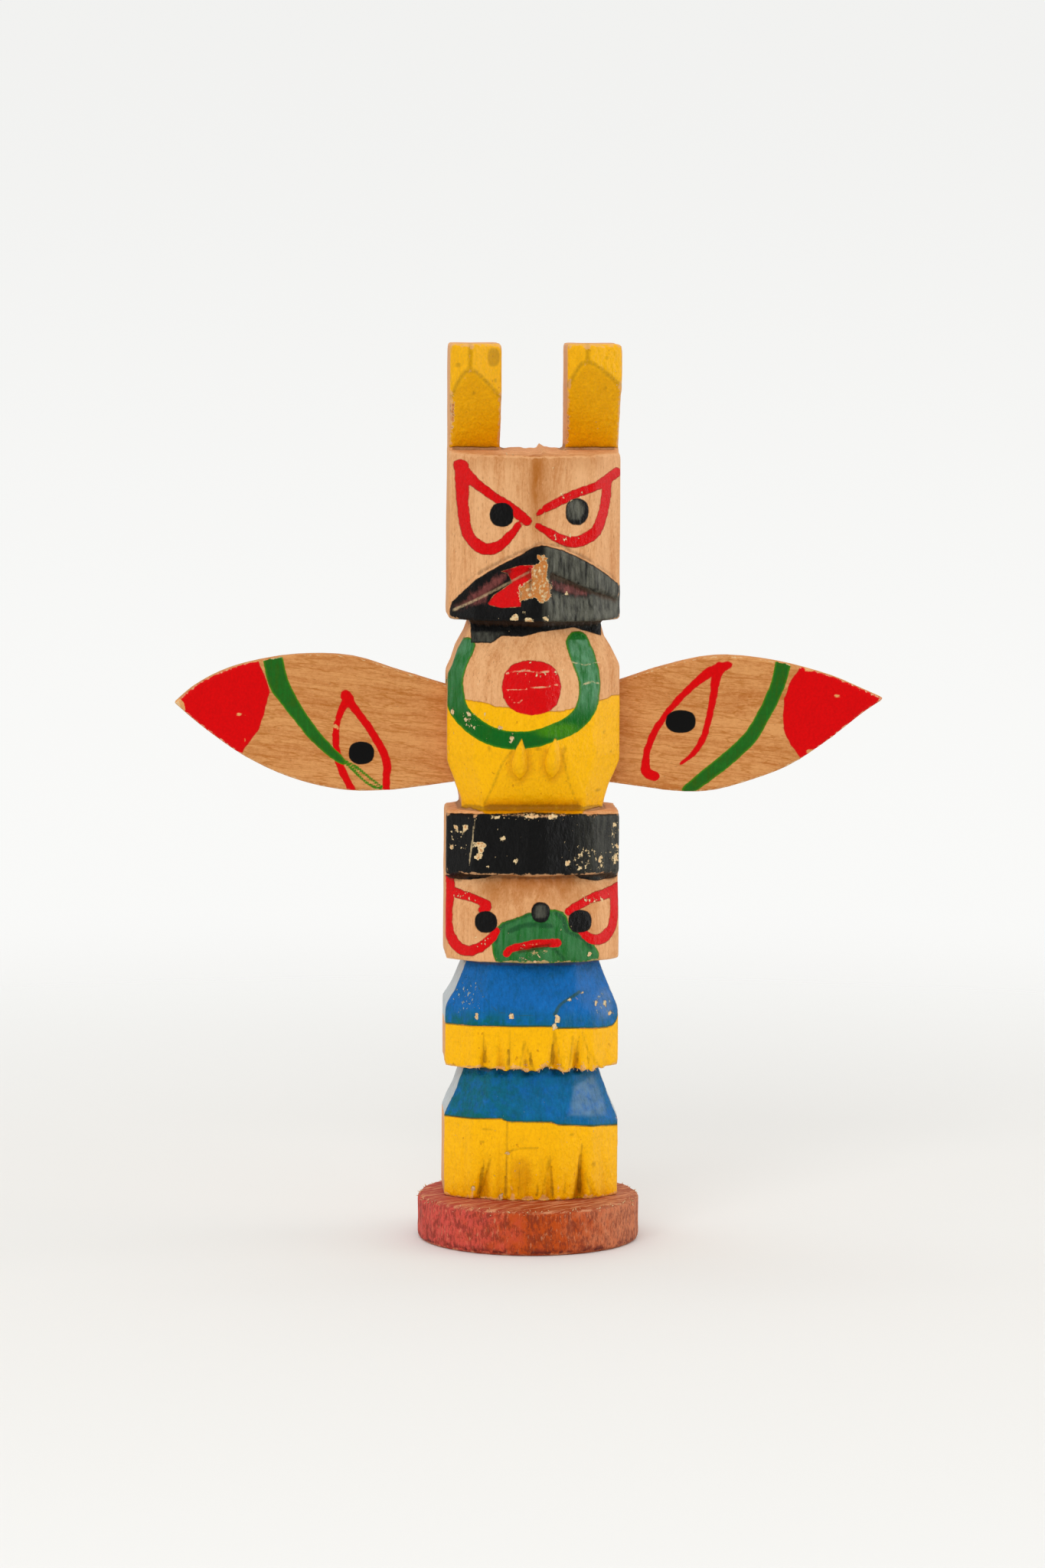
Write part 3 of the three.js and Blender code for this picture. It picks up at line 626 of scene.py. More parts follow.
def picture_on_pole(points, normals, seam_width):
    """How far each point lies inside each colour, in mm, and shares from 0 to 1 of each stain, tint, painted
    shade and painted highlight.
    """
    flat = points[:, (0, 2)]
    x, y, z = points.T
    wobble = chance_noise(points, (1.3, 1.3, 2.2), 11)
    facing = (-0.3 - normals[:, 1]) * 8.0
    front = any_of(-PAINT_REACH - y, facing) + 0.35 * wobble
    waist = z - WAIST + 0.5 - 0.8 * ramp(np.abs(x), 7, 9.5) + 0.2 * wobble
    body = all_of(-above(flat, BODY_LINE), waist)
    over_upper = above(flat, UPPER_SKIRT_LINE)
    over_lower = above(flat, LOWER_SKIRT_LINE)
    fringe = all_of(-over_upper, z - FRINGE_BOTTOM + 0.9)
    skirts = any_of(all_of(over_upper, FACE_BOTTOM - 0.1 - z), all_of(over_lower, FRINGE_BOTTOM - 0.2 - z))
    muzzle = patch(flat, MUZZLE)
    arms = all_of(front + 0.3, stroke(flat, GREEN_ARMS, GREEN_WIDTHS))
    tongue = patch(flat, TONGUE)
    band = all_of(-above(flat, BAND_TOP_LINE), above(flat, BAND_LOW_LINE))
    beak = all_of(patch(flat, BEAK), -tongue)
    skirt_edges = seam_width - all_of(np.abs(over_upper), np.abs(over_lower))
    on_front = {
        "yellow": any_of(z - LEDGE - 0.35, body, fringe, -over_lower),
        "blue": skirts,
        # Painted shade along the creases, and dark pits.
        "creases": any_of(union(stroke, flat, CREASE_SHADES), union(dab, flat, PITS)),
        # Painted shade along the ears' ridges.
        "ridge_shade": any_of(*[stroke(flat, line, EAR_LINE_WIDTH) for line in EAR_LINES]),
        # Dark line where the blue meets the yellow, and painted shade along the skirt's facet edge.
        "seam": any_of(skirt_edges, union(stroke, flat, SKIRT_FOLDS)),
    }
    round_edge = {
        "scratches": union(stroke, flat, SCRATCHES),
        "green": any_of(arms, all_of(muzzle, z - FACE_BOTTOM)),
        "shaded_green": all_of(muzzle, union(stroke, flat, MUZZLE_SHADE)),
        "red": any_of(union(stroke, flat, RED_STROKES), union(dab, flat, RED_DABS), tongue),
        "black": any_of(band, beak, patch(flat, NECK), union(dab, flat, BLACK_DABS)),
        # Painted shadow in the mouth.
        "mouth_shade": any_of(patch(flat, MOUTH_SHADOW), patch(flat, CHEEK_SHADOW)),
        # Painted highlight along the mouth.
        "pale": stroke(flat, *MOUTH_HIGHLIGHT),
        "talons": talons(flat),
        "chips": union(dab, flat, CHIPS) + 0.2 * chance_noise(points, 0.6, 21),
        "bare": any_of(patch(flat, BARE_PATCH), union(dab, flat, BARE_SPOTS)),
    }
    speckled = any_of(*[dab(flat, *spot) / min(spot[1:]) for spot in SPECKLED])
    # Sheer paint on an arm and a corner, and a painted highlight on a facet of the second skirt.
    sheer_and_highlight = [ramp(dab(flat, *SHEER_ARM), 0, 0.8), 0.16 * ramp(patch(flat, PALE_FACET_HIGHLIGHT), 0, 0.7),
             0.14 * ramp(dab(flat, *SHEER_CORNER), 0, 0.8)]
    return {
        **{name: all_of(front, field) for name, field in on_front.items()},
        **{name: all_of(front + WRAP, field) for name, field in round_edge.items()},
        "wash": all_of(0.2 - front, skirts, (0.5 - normals[:, 1]) * 2),
        "stain": stains_and_eave_shade(x, z) * ramp(-y, 4, 6),
        "deep_and_shaded": deep_and_shaded_yellow_places(flat),
        "grey": grey_and_sheen_places(flat),
        "teal": teal_places(flat),
        "sheer_and_highlight": any_of(*sheer_and_highlight),
        "specks": ramp(speckled, 0, 0.7) * ramp(front, -0.3, 0.3),
    }


def talons(flat):
    return any_of(*[patch(flat, corners) for corners in TALONS])


def stains_and_eave_shade(x, z):
    """Brown stain down the brow's ridge and along the ledge, painted shade under the black band, and a light
    brown over the face below the band.
    """
    ridge = 0.6 * bell(x, 0.1, 1.0) * ramp(z, 108.5, 113) + 0.4 * bell(x, 0.6, 3.4) * ramp(z, 112, 119)
    ledge = 0.45 * ramp(z, LEDGE - 4.1, LEDGE - 0.4)
    # Painted shade under the black band.
    eave_shade = ramp(z, 50.5, 57.5) * ramp(EAVE - z, 0, 0.4) * (1 - 0.75 * ramp(np.abs(x), 6, 12)) * 0.8
    cheeks = 0.25 * ramp(z, 44, 50) * (z < EAVE) * (1 - ramp(np.abs(x), 8, 12))
    return any_of(ridge, ledge, eave_shade, cheeks) * ~between(z, WAIST, BODY_TOP)


def deep_and_shaded_yellow_places(flat):
    """Yellow paint that is deeper on the ears and their lower slopes and on a spot of ochre dirt, with
    painted shade at the ears' foot by the ledge, above the band, in the cuts and round the talons.
    """
    x, z = flat.T
    arch = np.where(x < 0, above(flat, LEFT_ARCH), above(flat, RIGHT_ARCH))
    # The ears are deeper on their lower slopes, with painted shade at their foot by the ledge.
    slope = (0.15 + 0.3 * ramp(-arch, 0, 0.3) + 0.5 * ramp(LEDGE + 1.6 - z, 0, 1.4)) * (z > LEDGE)
    # Painted shade above the band.
    sill_shade = ramp(SILL_TOP - z, 0, 1.6) * (z > WAIST - 1) * ramp(8 - np.abs(x), 0, 1.0)
    # Painted shade in the cuts.
    cuts = 0.9 * ramp(fringe_cuts(flat), 0.05, 0.55)
    ochre = 0.7 * ramp(dab(flat, *OCHRE_SPOT), 0, 1.4)
    claws = talons(flat)
    shade = 0.6 * ramp(claws, -1.3, -0.2) * (claws < 0.1) * (z < 78)
    return any_of(slope, sill_shade, cuts, ochre, shade)


def grey_and_sheen_places(flat):
    """Black paint shown grey, as painted sheen on the right half of the beak, the right pupil and the band's
    right facet, and greyer on the nose dot and the left of the neck; green paint brushed thin on the arms,
    more on the right arm, and on the muzzle.
    """
    x, z = flat.T
    # Painted sheen on the right half of the beak, the right pupil and the band's right facet.
    beak = ramp(x, 0.8, 2.6) * ramp(z, NECK_TOP + 0.5, NECK_TOP + 2.5) * (z < BEAK_TOP - 0.5)
    eye_sheen = ramp(dab(flat, *EYE_SHEEN), 0, 0.25)
    nose = 0.6 * ramp(dab(flat, *GREY_NOSE), 0, 0.3)
    band = 0.35 * ramp(x, 5, 11) * between(z, 57, 68)
    neck = 0.5 * ramp(-x, 4, 6) * between(z, BODY_TOP, NECK_TOP + 0.1)
    arms = np.maximum(0.75 * ramp(x, 5, 6), 0.35 * ramp(-x, 5, 6)) * ramp(z, 82, 86) * (z < 94.5)
    muzzle = 0.3 * (all_of(patch(flat, MUZZLE), -union(dab, flat, BLACK_DABS)) > 0)
    return any_of(beak, eye_sheen, nose, band, neck, arms, muzzle)


def teal_places(flat):
    """Blue paint that is thin over the yellow, low on each skirt and more to the left."""
    heights = [above(flat, line) for line in (UPPER_SKIRT_LINE, LOWER_SKIRT_LINE)]
    low = [ramp(3.4 - height, 0, 3.0) * (height > -1) for height in heights]
    return any_of(*low, 0.8 * (flat[:, 1] < FRINGE_BOTTOM)) * (0.5 + 0.5 * ramp(-flat[:, 0], -4, 9))


def carve_pole(sizes):
    """The pole's skin with knife marks, torn edges, paint thickness and chips."""
    mesh, points, normals, bend = dense_skin("pole", sizes.pole_cell)
    x, y, z = points.T
    fields = picture_on_pole(points, normals, sizes.seam_width / MM)
    yellow, claws = fields["yellow"], fields["talons"]
    beak_zone = ramp(z, NECK_TOP, NECK_TOP + 1.5) * ramp(BEAK_TOP - z, 0, 1) * ramp(-y, 3.5, 5)
    smooth_zone = np.maximum(beak_zone, ramp(claws, -0.6, 0.0))
    bend = bend * np.where(bend < 0, 1 - 0.75 * smooth_zone, 1 - 0.85 * ramp(claws, -0.8, -0.2))
    painted = any_of(*[fields[name] for name in ("yellow", "blue", "green", "red", "black", "mouth_shade")])
    bare = any_of(fields["chips"], fields["bare"])
    lift = mixed_noise(points, (4.5, 4.5, 8.0), (1.6, 1.6, 3.4), 3) * sizes.knife_marks / MM
    lift += ramp(painted, -0.1, 0.3) * sizes.paint_thickness / MM
    lift -= ramp(bare, -0.1, 0.2) * ramp(painted, 0, 0.3) * sizes.chip_depth / MM
    lift -= ramp(-bend, 0.4, 1.2) * (0.6 + chance_noise(points, 0.9, 5)) * sizes.corner_wear / MM
    dents = ramp(chance_noise(points, (0.8, 0.8, 1.1), 46), 0.8, 1.4) * ramp(yellow, 0.2, 0.6)
    lift -= dents * sizes.dent_depth / MM
    lift += ramp(claws, -0.2, 0.9) * sizes.talon_height / MM
    lift[z < BASE_TOP + 0.15] = 0.0
    moved = points + normals * lift[:, None]
    moved[:, 1] += CUT_GAIN * fringe_cuts(points[:, (0, 2)]) * ramp(-normals[:, 1], 0.3, 0.6)
    ragged = chance_noise(points * (1, 0, 0), 0.8, 6) + 0.7 * chance_noise(points * (1, 0, 0), 2.3, 8)
    near_hem = ramp(1.6 - np.abs(z - FRINGE_BOTTOM), 0, 1.2) * ramp(-y, 4.0, 6.0)
    open_ledge = np.maximum(ramp(-y, 6.0, 7.5), ramp(5.5 - np.abs(x), 0, 0.6))
    near_ledge = ramp(0.9 - np.abs(z - LEDGE), 0, 0.8) * open_ledge
    moved[:, 2] += ragged * (near_hem + 0.35 * near_ledge) * sizes.ragged_edge / MM
    across, half_width, height = LEDGE_SPLINTER
    moved[:, 2] += height * near_ledge * bell(x, across, half_width)
    write_points(mesh, moved)
    torn = (near_hem > 0.3) | (near_ledge > 0.3)
    fray = ramp(-bend, 0.35, 1.0) * ramp(-y, 2.0, 3.0) * torn
    write_fields(mesh, bend=bend, fray=fray, **fields)
    return mesh


def carve_wing(node, picture, sizes):
    """One wing's skin with softened edges and its painted picture."""
    mesh, points, normals, bend = dense_skin(node, sizes.wing_cell)
    flat = points[:, (0, 2)]
    front = ramp(-normals[:, 1], 0.25, 0.6) * 10 - 5 + chance_noise(points, 0.8, 31)
    lines = any_of(union(stroke, flat, picture["red"]), dab(flat, *picture["red_dab"]))
    fields = {
        "red": all_of(front + 4.0, any_of(patch(flat, picture["tip"]), lines)),
        "green": all_of(front, union(stroke, flat, [picture["green"], *picture["strands"]])),
        "black": all_of(front, dab(flat, *picture["pupil"])),
        "chips": union(dab, flat, picture["scuffs"]) + 0.2 * chance_noise(points, 0.6, 33),
    }
    painted = any_of(fields["red"], fields["green"], fields["black"])
    lift = 0.5 * mixed_noise(points, (9.0, 4.0, 4.0), (3.0, 1.2, 1.2), 34) * sizes.knife_marks / MM
    lift += ramp(painted, -0.1, 0.3) * sizes.paint_thickness / MM
    lift -= ramp(-bend, 0.3, 1.1) * (0.7 + chance_noise(points, (1.4, 0.7, 1.4), 36)) * sizes.wing_wear / MM
    lift *= ramp(np.abs(points[:, 0]), WING_ROOT, WING_CLEAR)
    write_points(mesh, points + normals * lift[:, None])
    write_fields(mesh, bend=bend, **fields)
    return mesh


def turn_base(sizes):
    """The round base with fibrous sides, saw lines on top and a chipped lower edge."""
    mesh, points, normals, bend = dense_skin("base_disc", sizes.base_cell)
    x, y, z = points.T
    side = 1 - ramp(np.abs(normals[:, 2]), 0.3, 0.7)
    top = ramp(normals[:, 2], 0.6, 0.9)
    wrapped = np.column_stack([np.arctan2(y, x) * BASE_RADIUS, 0 * y, z])
    fibres = mixed_noise(wrapped, (0.5, 1, 4.0), (1.4, 1, 6.0), 41) * sizes.rim_fibres / MM
    fibres += chance_noise(wrapped, (1.5, 1, 1.7), 45) * sizes.rim_dents / MM
    cut_x, cut_y = SAW_ACROSS
    turned = np.column_stack([cut_x * x + cut_y * y, cut_y * x - cut_x * y, 0 * z])
    sawn = chance_noise(turned, (0.45, 7.0, 1), 43) * sizes.saw_marks / MM
    lift = side * fibres + top * sawn
    chips = ramp(-bend, 0.3, 1.0) * ramp(chance_noise(points, 1.1, 44), -0.2, 0.8)
    lift -= chips * sizes.rim_chips / MM
    lift[z < 0.25] = 0.0
    lift *= 1 - 0.6 * top * ramp(BASE_RADIUS - 1.8 - np.hypot(x, y), 0.0, 1.0)
    write_points(mesh, points + normals * lift[:, None])
    write_fields(mesh, bend=bend, side=side, fray=ramp(-bend, 0.3, 1.0) * (z > 1.0))
    return mesh


# Materials

class Wiring:
    """Adds nodes to a tree; an input is a plain value or another node's socket."""

    def __init__(self, tree):
        self.tree = tree

    def add(self, kind, inputs=None, **settings):
        node = self.tree.nodes.new(kind)
        for name, value in settings.items():
            setattr(node, name, value)
        for name, value in (inputs or {}).items():
            self.plug(value, node.inputs[name])
        return node

    def plug(self, value, socket):
        if isinstance(value, bpy.types.NodeSocket):
            self.tree.links.new(value, socket)
        elif socket.type == "RGBA" and len(value) == 3:
            socket.default_value = (*value, 1.0)
        else:
            socket.default_value = value

    def math(self, operation, first, second=0.0, third=0.0, clamp=False):
        inputs = {0: first, 1: second, 2: third}
        return self.add("ShaderNodeMath", inputs, operation=operation, use_clamp=clamp).outputs[0]

    def times(self, first, second):
        return self.math("MULTIPLY", first, second)

    def share(self, first, second):
        """A product kept between 0 and 1."""
        return self.math("MULTIPLY", first, second, clamp=True)

    def line(self, value, slope, start):
        return self.math("MULTIPLY_ADD", value, slope, start)

    def larger(self, *values):
        most = values[0]
        for value in values[1:]:
            most = self.math("MAXIMUM", most, value)
        return most

    def mix(self, factor, first, second):
        inputs = {0: factor, 6: first, 7: second}
        return self.add("ShaderNodeMix", inputs, data_type="RGBA").outputs[2]

    def step(self, value, low, high, to_low=0.0, to_high=1.0):
        inputs = {0: value, 1: low, 2: high, 3: to_low, 4: to_high}
        return self.add("ShaderNodeMapRange", inputs, interpolation_type="SMOOTHSTEP").outputs[0]

    def stretch(self, vector, scale=(1, 1, 1), turn=(0, 0, 0), shift=(0, 0, 0)):
        inputs = {"Vector": vector, "Scale": scale, "Rotation": turn, "Location": shift}
        return self.add("ShaderNodeMapping", inputs).outputs[0]

    def noise(self, vector, scale, detail=3.0, roughness=0.55):
        """Noise from 0 to 1; scale is one number or one for each axis."""
        if isinstance(scale, tuple):
            vector, scale = self.stretch(vector, scale), 1.0
        inputs = {"Vector": vector, "Scale": scale, "Detail": detail, "Roughness": roughness}
        return self.add("ShaderNodeTexNoise", inputs).outputs[0]

    def centred(self, value):
        return self.math("SUBTRACT", value, 0.5)

    def swing(self, *place):
        """Noise from -0.5 to 0.5."""
        return self.centred(self.noise(*place))

    def field(self, name):
        return self.add("ShaderNodeAttribute", attribute_name=name).outputs["Fac"]

    def place(self):
        """Object coordinates in mm."""
        return self.stretch(self.add("ShaderNodeTexCoord").outputs["Object"], (1000, 1000, 1000))


SOCKETS = {
    "value": "NodeSocketFloat",
    "whole": "NodeSocketInt",
    "colour": "NodeSocketColor",
    "vector": "NodeSocketVector",
    "geometry": "NodeSocketGeometry",
}


def new_group(name, inputs, outputs, tree_type="ShaderNodeTree"):
    """An empty node group with named sockets, and its input and output nodes."""
    tree = bpy.data.node_groups.new(name, tree_type)
    for socket, (kind, default) in inputs.items():
        item = tree.interface.new_socket(socket, in_out="INPUT", socket_type=SOCKETS[kind])
        if default is not None:
            item.default_value = default
    for socket, kind in outputs.items():
        tree.interface.new_socket(socket, in_out="OUTPUT", socket_type=SOCKETS[kind])
    w = Wiring(tree)
    return tree, w, w.add("NodeGroupInput").outputs, w.add("NodeGroupOutput").inputs


def wood_grain_group():
    """Grain that runs along the vector's Z, with growth bands, pores and fine fibres."""
    tree, w, given, out = new_group(
        "Wood Grain",
        {"Vector": ("vector", None), "Pale": ("colour", None), "Dark": ("colour", None),
         "Pore": ("colour", None), "Contrast": ("value", 1.0), "Pores": ("value", 0.5)},
        {"Color": "colour", "Height": "value"})
    at = given["Vector"]
    sway = w.noise(at, (0.12, 0.12, 0.03), 2.0)
    sideways = w.stretch(w.add("ShaderNodeCombineXYZ", {0: sway, 1: sway}).outputs[0], (6, 6, 1))
    bent = w.add("ShaderNodeVectorMath", {0: at, 1: sideways}, operation="ADD").outputs[0]
    bands = w.swing(bent, (0.55, 0.55, 0.02), 4.0, 0.6)
    fibres = w.noise(bent, (3.2, 3.2, 0.16), 4.0, 0.65)
    hairs = w.noise(bent, (9.0, 9.0, 0.7), 2.0, 0.6)
    pores = w.step(w.noise(at, (5.0, 5.0, 1.3), 1.0), 0.66, 0.74)
    speckle = w.swing(at, (2.6, 2.6, 1.7), 4.0, 0.7)
    shade = w.line(bands, 1.1, w.line(fibres, 0.75, 0.03))
    shade = w.line(w.centred(hairs), 0.5, shade)
    shade = w.line(speckle, 0.8, shade)
    shade = w.share(w.step(shade, 0.1, 0.85), given["Contrast"])
    tone = w.mix(shade, given["Pale"], given["Dark"])
    speck = w.share(pores, given["Pores"])
    w.plug(w.mix(speck, tone, w.mix(0.6, given["Dark"], given["Pore"])), out["Color"])
    height = w.line(fibres, -0.03, w.times(hairs, -0.015))
    w.plug(w.line(speck, -0.03, height), out["Height"])
    return tree


def paint_layer_group():
    """One coat of paint over what lies under it, with a ragged edge, brush streaks and a thin rim."""
    tree, w, given, out = new_group(
        "Paint Layer",
        {"Vector": ("vector", None), "Under": ("colour", None), "Paint": ("colour", None),
         "Thin Paint": ("colour", None), "Distance": ("value", 0.0), "Ragged": ("value", 0.3),
         "Softness": ("value", 0.08), "Rim": ("value", 0.6), "Streaks": ("value", 0.2),
         "Opacity": ("value", 1.0)},
        {"Color": "colour", "Cover": "value"})
    at = given["Vector"]
    edge = w.line(w.swing(at, 0.9, 4.0, 0.6), w.times(given["Ragged"], 2.0), given["Distance"])
    cover = w.step(edge, w.times(given["Softness"], -1.0), given["Softness"])
    body = w.step(edge, 0.0, given["Rim"])
    brush = w.swing(at, (2.4, 2.4, 0.3), 3.0, 0.6)
    cloud = w.swing(at, 0.45, 4.0, 0.6)
    vary = w.times(w.math("ADD", brush, cloud), given["Streaks"])
    thick = w.math("ADD", body, w.times(vary, 1.6), clamp=True)
    tone = w.mix(thick, given["Thin Paint"], given["Paint"])
    fine = w.swing(at, (2.8, 2.8, 2.2), 3.0, 0.7)
    bright = w.line(vary, 1.2, w.line(fine, 0.5, 1.0))
    lit = w.add("ShaderNodeVectorMath", {0: tone, "Scale": bright}, operation="SCALE").outputs[0]
    w.plug(w.mix(w.share(cover, given["Opacity"]), given["Under"], lit), out["Color"])
    w.plug(cover, out["Cover"])
    return tree


def handling_dirt_group():
    """Grime and painted shade that darken the creases, and pale rubbing on sharp edges."""
    tree, w, given, out = new_group(
        "Crease Grime Shade and Rub",
        {"Vector": ("vector", None), "Color": ("colour", None), "Bend": ("value", 0.0),
         "Dirt": ("colour", None), "Dirt Amount": ("value", 0.5), "Rub": ("colour", None),
         "Rub Amount": ("value", 0.5)},
        {"Color": "colour"})
    patchy = w.swing(given["Vector"], 1.4, 4.0, 0.65)
    # Darker in the creases, from grime and painted shade.
    deep_and_shaded = w.share(w.step(w.line(patchy, 0.8, given["Bend"]), 0.25, 1.1), given["Dirt Amount"])
    grimed_and_shaded = w.mix(deep_and_shaded, given["Color"], given["Dirt"])
    worn = w.line(patchy, 2.2, w.times(given["Bend"], -1.0))
    worn = w.share(w.step(worn, 1.05, 1.4), given["Rub Amount"])
    w.plug(w.mix(worn, grimed_and_shaded, given["Rub"]), out["Color"])
    return tree


GROUPS = {}


def shared_groups():
    if not GROUPS:
        GROUPS.update(grain=wood_grain_group(), paint=paint_layer_group(), dirt=handling_dirt_group())
    return GROUPS


def placed(w, group, **inputs):
    """Places a shared group in a material with its own values, and gives its outputs."""
    node = w.add("ShaderNodeGroup", node_tree=shared_groups()[group])
    for name, value in inputs.items():
        w.plug(value, node.inputs[name.replace("_", " ")])
    return node.outputs


def crease_shaded_and_rubbed(w, c, at, tone, crease_darkening, rub, rubbing):
    """A tone darkened in the piece's creases by grime and painted shade, with pale rubbing on its edges."""
    return placed(w, "dirt", Vector=at, Color=tone, Bend=w.field("bend"), Dirt=c.dirt, Dirt_Amount=crease_darkening,
                  Rub=rub, Rub_Amount=rubbing)["Color"]


class Coats:
    """Lays coats of paint one over another, and keeps how far each one hides the wood."""

    def __init__(self, w, at, wood):
        self.w = w
        self.at = at
        self.tone = wood
        self.covers = []

    def lay(self, field, paint, thin, scale=1.0, hides=True, **values):
        vector = self.w.stretch(self.at, (scale, scale, scale))
        layer = placed(self.w, "paint", Vector=vector, Under=self.tone, Paint=paint, Thin_Paint=thin,
                       Distance=self.w.field(field), **values)
        self.tone = layer["Color"]
        if hides:
            self.covers.append(layer["Cover"])
        return layer["Cover"]

    def wash(self, field, paint, **values):
        """A thin coat of one colour, through which the wood still counts as bare."""
        self.lay(field, paint, paint, hides=False, **values)


def new_material(name):
    material = bpy.data.materials.new(name)
    material.use_nodes = True
    return material, Wiring(material.node_tree), material.node_tree.nodes["Principled BSDF"]


def finish_surface(w, shader, tone, roughness, height, specular=0.5, depth=MM):
    bump = w.add("ShaderNodeBump", {"Height": height, "Distance": depth, "Strength": 1.0})
    for name, value in (("Base Color", tone), ("Roughness", roughness), ("Specular IOR Level", specular),
                        ("Normal", bump.outputs[0])):
        w.plug(value, shader.inputs[name])


def painted_pole_material(c):
    material, w, shader = new_material("painted wood")
    at = w.place()
    grain = placed(w, "grain", Vector=at, Pale=c.pale_wood, Dark=c.grain_wood, Pore=c.pore, Contrast=0.85,
                   Pores=0.4)
    patchy = w.noise(at, (0.8, 0.8, 0.3), 4.0, 0.65)
    # Stain, with the painted shade under the black band.
    stain = w.share(w.field("stain"), w.step(patchy, 0.1, 0.62))
    coats = Coats(w, at, w.mix(stain, grain["Color"], c.stained_wood))
    blotch = w.noise(at, 0.7, 4.0, 0.6)
    # Deeper yellow, with painted shade at the ears' foot, above the band, in the cuts and round the talons.
    deep_and_shaded = w.share(w.field("deep_and_shaded"), w.step(blotch, 0.15, 0.5))
    pits = w.step(w.noise(at, (1.1, 1.1, 0.8), 2.0), 0.69, 0.73)
    yellow = w.mix(w.larger(deep_and_shaded, w.times(pits, 0.85)), c.yellow, c.deep_and_shaded_yellow)
    teal = w.share(w.field("teal"), w.step(blotch, 0.25, 0.62))
    # Sheer paint, and a painted highlight on a facet of the second skirt.
    sheer_and_highlight = w.share(w.field("sheer_and_highlight"), w.step(blotch, 0.2, 0.55))
    blue = w.mix(sheer_and_highlight, w.mix(teal, c.blue, c.teal), c.side_wash)
    # Greyer black is partly painted sheen on the facets that face right.
    brushed = w.step(w.noise(at, (1.6, 1.6, 0.25), 4.0), 0.2, 0.7)
    thinned_and_sheen = w.share(w.field("grey"), brushed)
    green = w.mix(sheer_and_highlight, w.mix(thinned_and_sheen, c.green, c.pale_green), c.thin_green)
    black = w.mix(thinned_and_sheen, c.black, c.grey_and_sheen_black)
    coats.wash("wash", c.side_wash, Ragged=0.25, Streaks=0.3, Opacity=0.9)
    coats.lay("yellow", yellow, c.deep_and_shaded_yellow, Ragged=0.25, Streaks=0.1, Rim=0.3)
    blue_cover = coats.lay("blue", blue, c.teal, Ragged=0.15, Streaks=0.5, Rim=0.4)
    # Dark line where the blue meets the yellow, and painted shade along the skirt's facet edge.
    coats.wash("seam", c.seam, Ragged=0.18, Softness=0.1, Opacity=0.7)
    coats.lay("green", green, c.thin_green, Ragged=0.2, Streaks=0.35, Rim=0.4)
    # Painted shade on the muzzle.
    coats.wash("shaded_green", c.shaded_green, Ragged=0.3, Softness=0.2, Streaks=0.4, Opacity=0.65)
    coats.lay("red", c.red, c.thin_red, Ragged=0.24, Streaks=0.12, Rim=0.2)
    coats.lay("black", black, c.black, Ragged=0.16, Streaks=0.35, Rim=0.3)
    # Painted shadow in the mouth and on the right of the beak.
    coats.lay("mouth_shade", c.mouth_shade_red, c.black, Ragged=0.4, Softness=0.5, Streaks=0.9, Rim=1.0, Opacity=0.9)
    # Painted highlight along the mouth's groove.
    coats.wash("pale", c.chipped_wood, Ragged=0.12, Softness=0.14, Streaks=0.5, Opacity=0.5)
    coats.lay("talons", c.yellow, c.deep_and_shaded_yellow, Ragged=0.12, Streaks=0.15, Rim=0.12)
    # Painted shade along the creases, and dark pits.
    coats.wash("creases", c.olive, Ragged=0.08, Softness=0.2, Opacity=0.42)
    # Painted shade along the ears' ridges and arches.
    coats.wash("ridge_shade", c.olive, Ragged=0.15, Softness=0.3, Streaks=0.3, Opacity=0.5)
    coats.wash("scratches", c.chipped_wood, Ragged=0.2, Softness=0.06, Opacity=0.6)
    crumbs = w.mix(w.step(w.noise(at, 1.9, 3.0), 0.42, 0.64), c.chipped_wood, c.crumb_wood)
    torn = w.mix(w.step(w.noise(at, 1.8, 4.0), 0.34, 0.52), c.chipped_wood, c.crumb_wood)
    coats.lay("bare", torn, c.chipped_wood, 2.0, False, Ragged=0.8, Softness=0.06, Streaks=0.5, Rim=0.15)
    chips = coats.lay("chips", crumbs, c.chipped_wood, 2.2, False, Ragged=0.5, Softness=0.05, Streaks=0.3,
                      Rim=0.3)
    fleck = w.line(w.field("specks"), 0.13, w.noise(at, (1.9, 1.9, 1.4), 3.0, 0.6))
    fleck = w.step(fleck, 0.725, 0.755)
    thin_blue = w.mix(0.4, c.side_wash, c.teal)
    tone = w.mix(fleck, coats.tone, w.mix(w.times(blue_cover, 0.9), c.chipped_wood, thin_blue))
    # Grime and painted shade in the creases, and pale rubbing on the edges.
    tone = crease_shaded_and_rubbed(w, c, at, tone, 0.5, c.pale_wood, 0.6)
    kept = w.math("SUBTRACT", 1.0, w.larger(chips, fleck))
    covered = w.share(w.larger(*coats.covers), kept)
    roughness = w.line(w.noise(at, 0.8), 0.1, w.line(covered, -0.28, 0.62))
    lumps = w.times(w.noise(at, (1.5, 1.5, 0.9), 4.0, 0.6), 0.3)
    height = w.times(grain["Height"], w.line(covered, -0.45, 1.0))
    height = w.math("ADD", height, w.times(lumps, covered))
    finish_surface(w, shader, tone, roughness, w.line(covered, 0.025, height), specular=0.12)
    return material


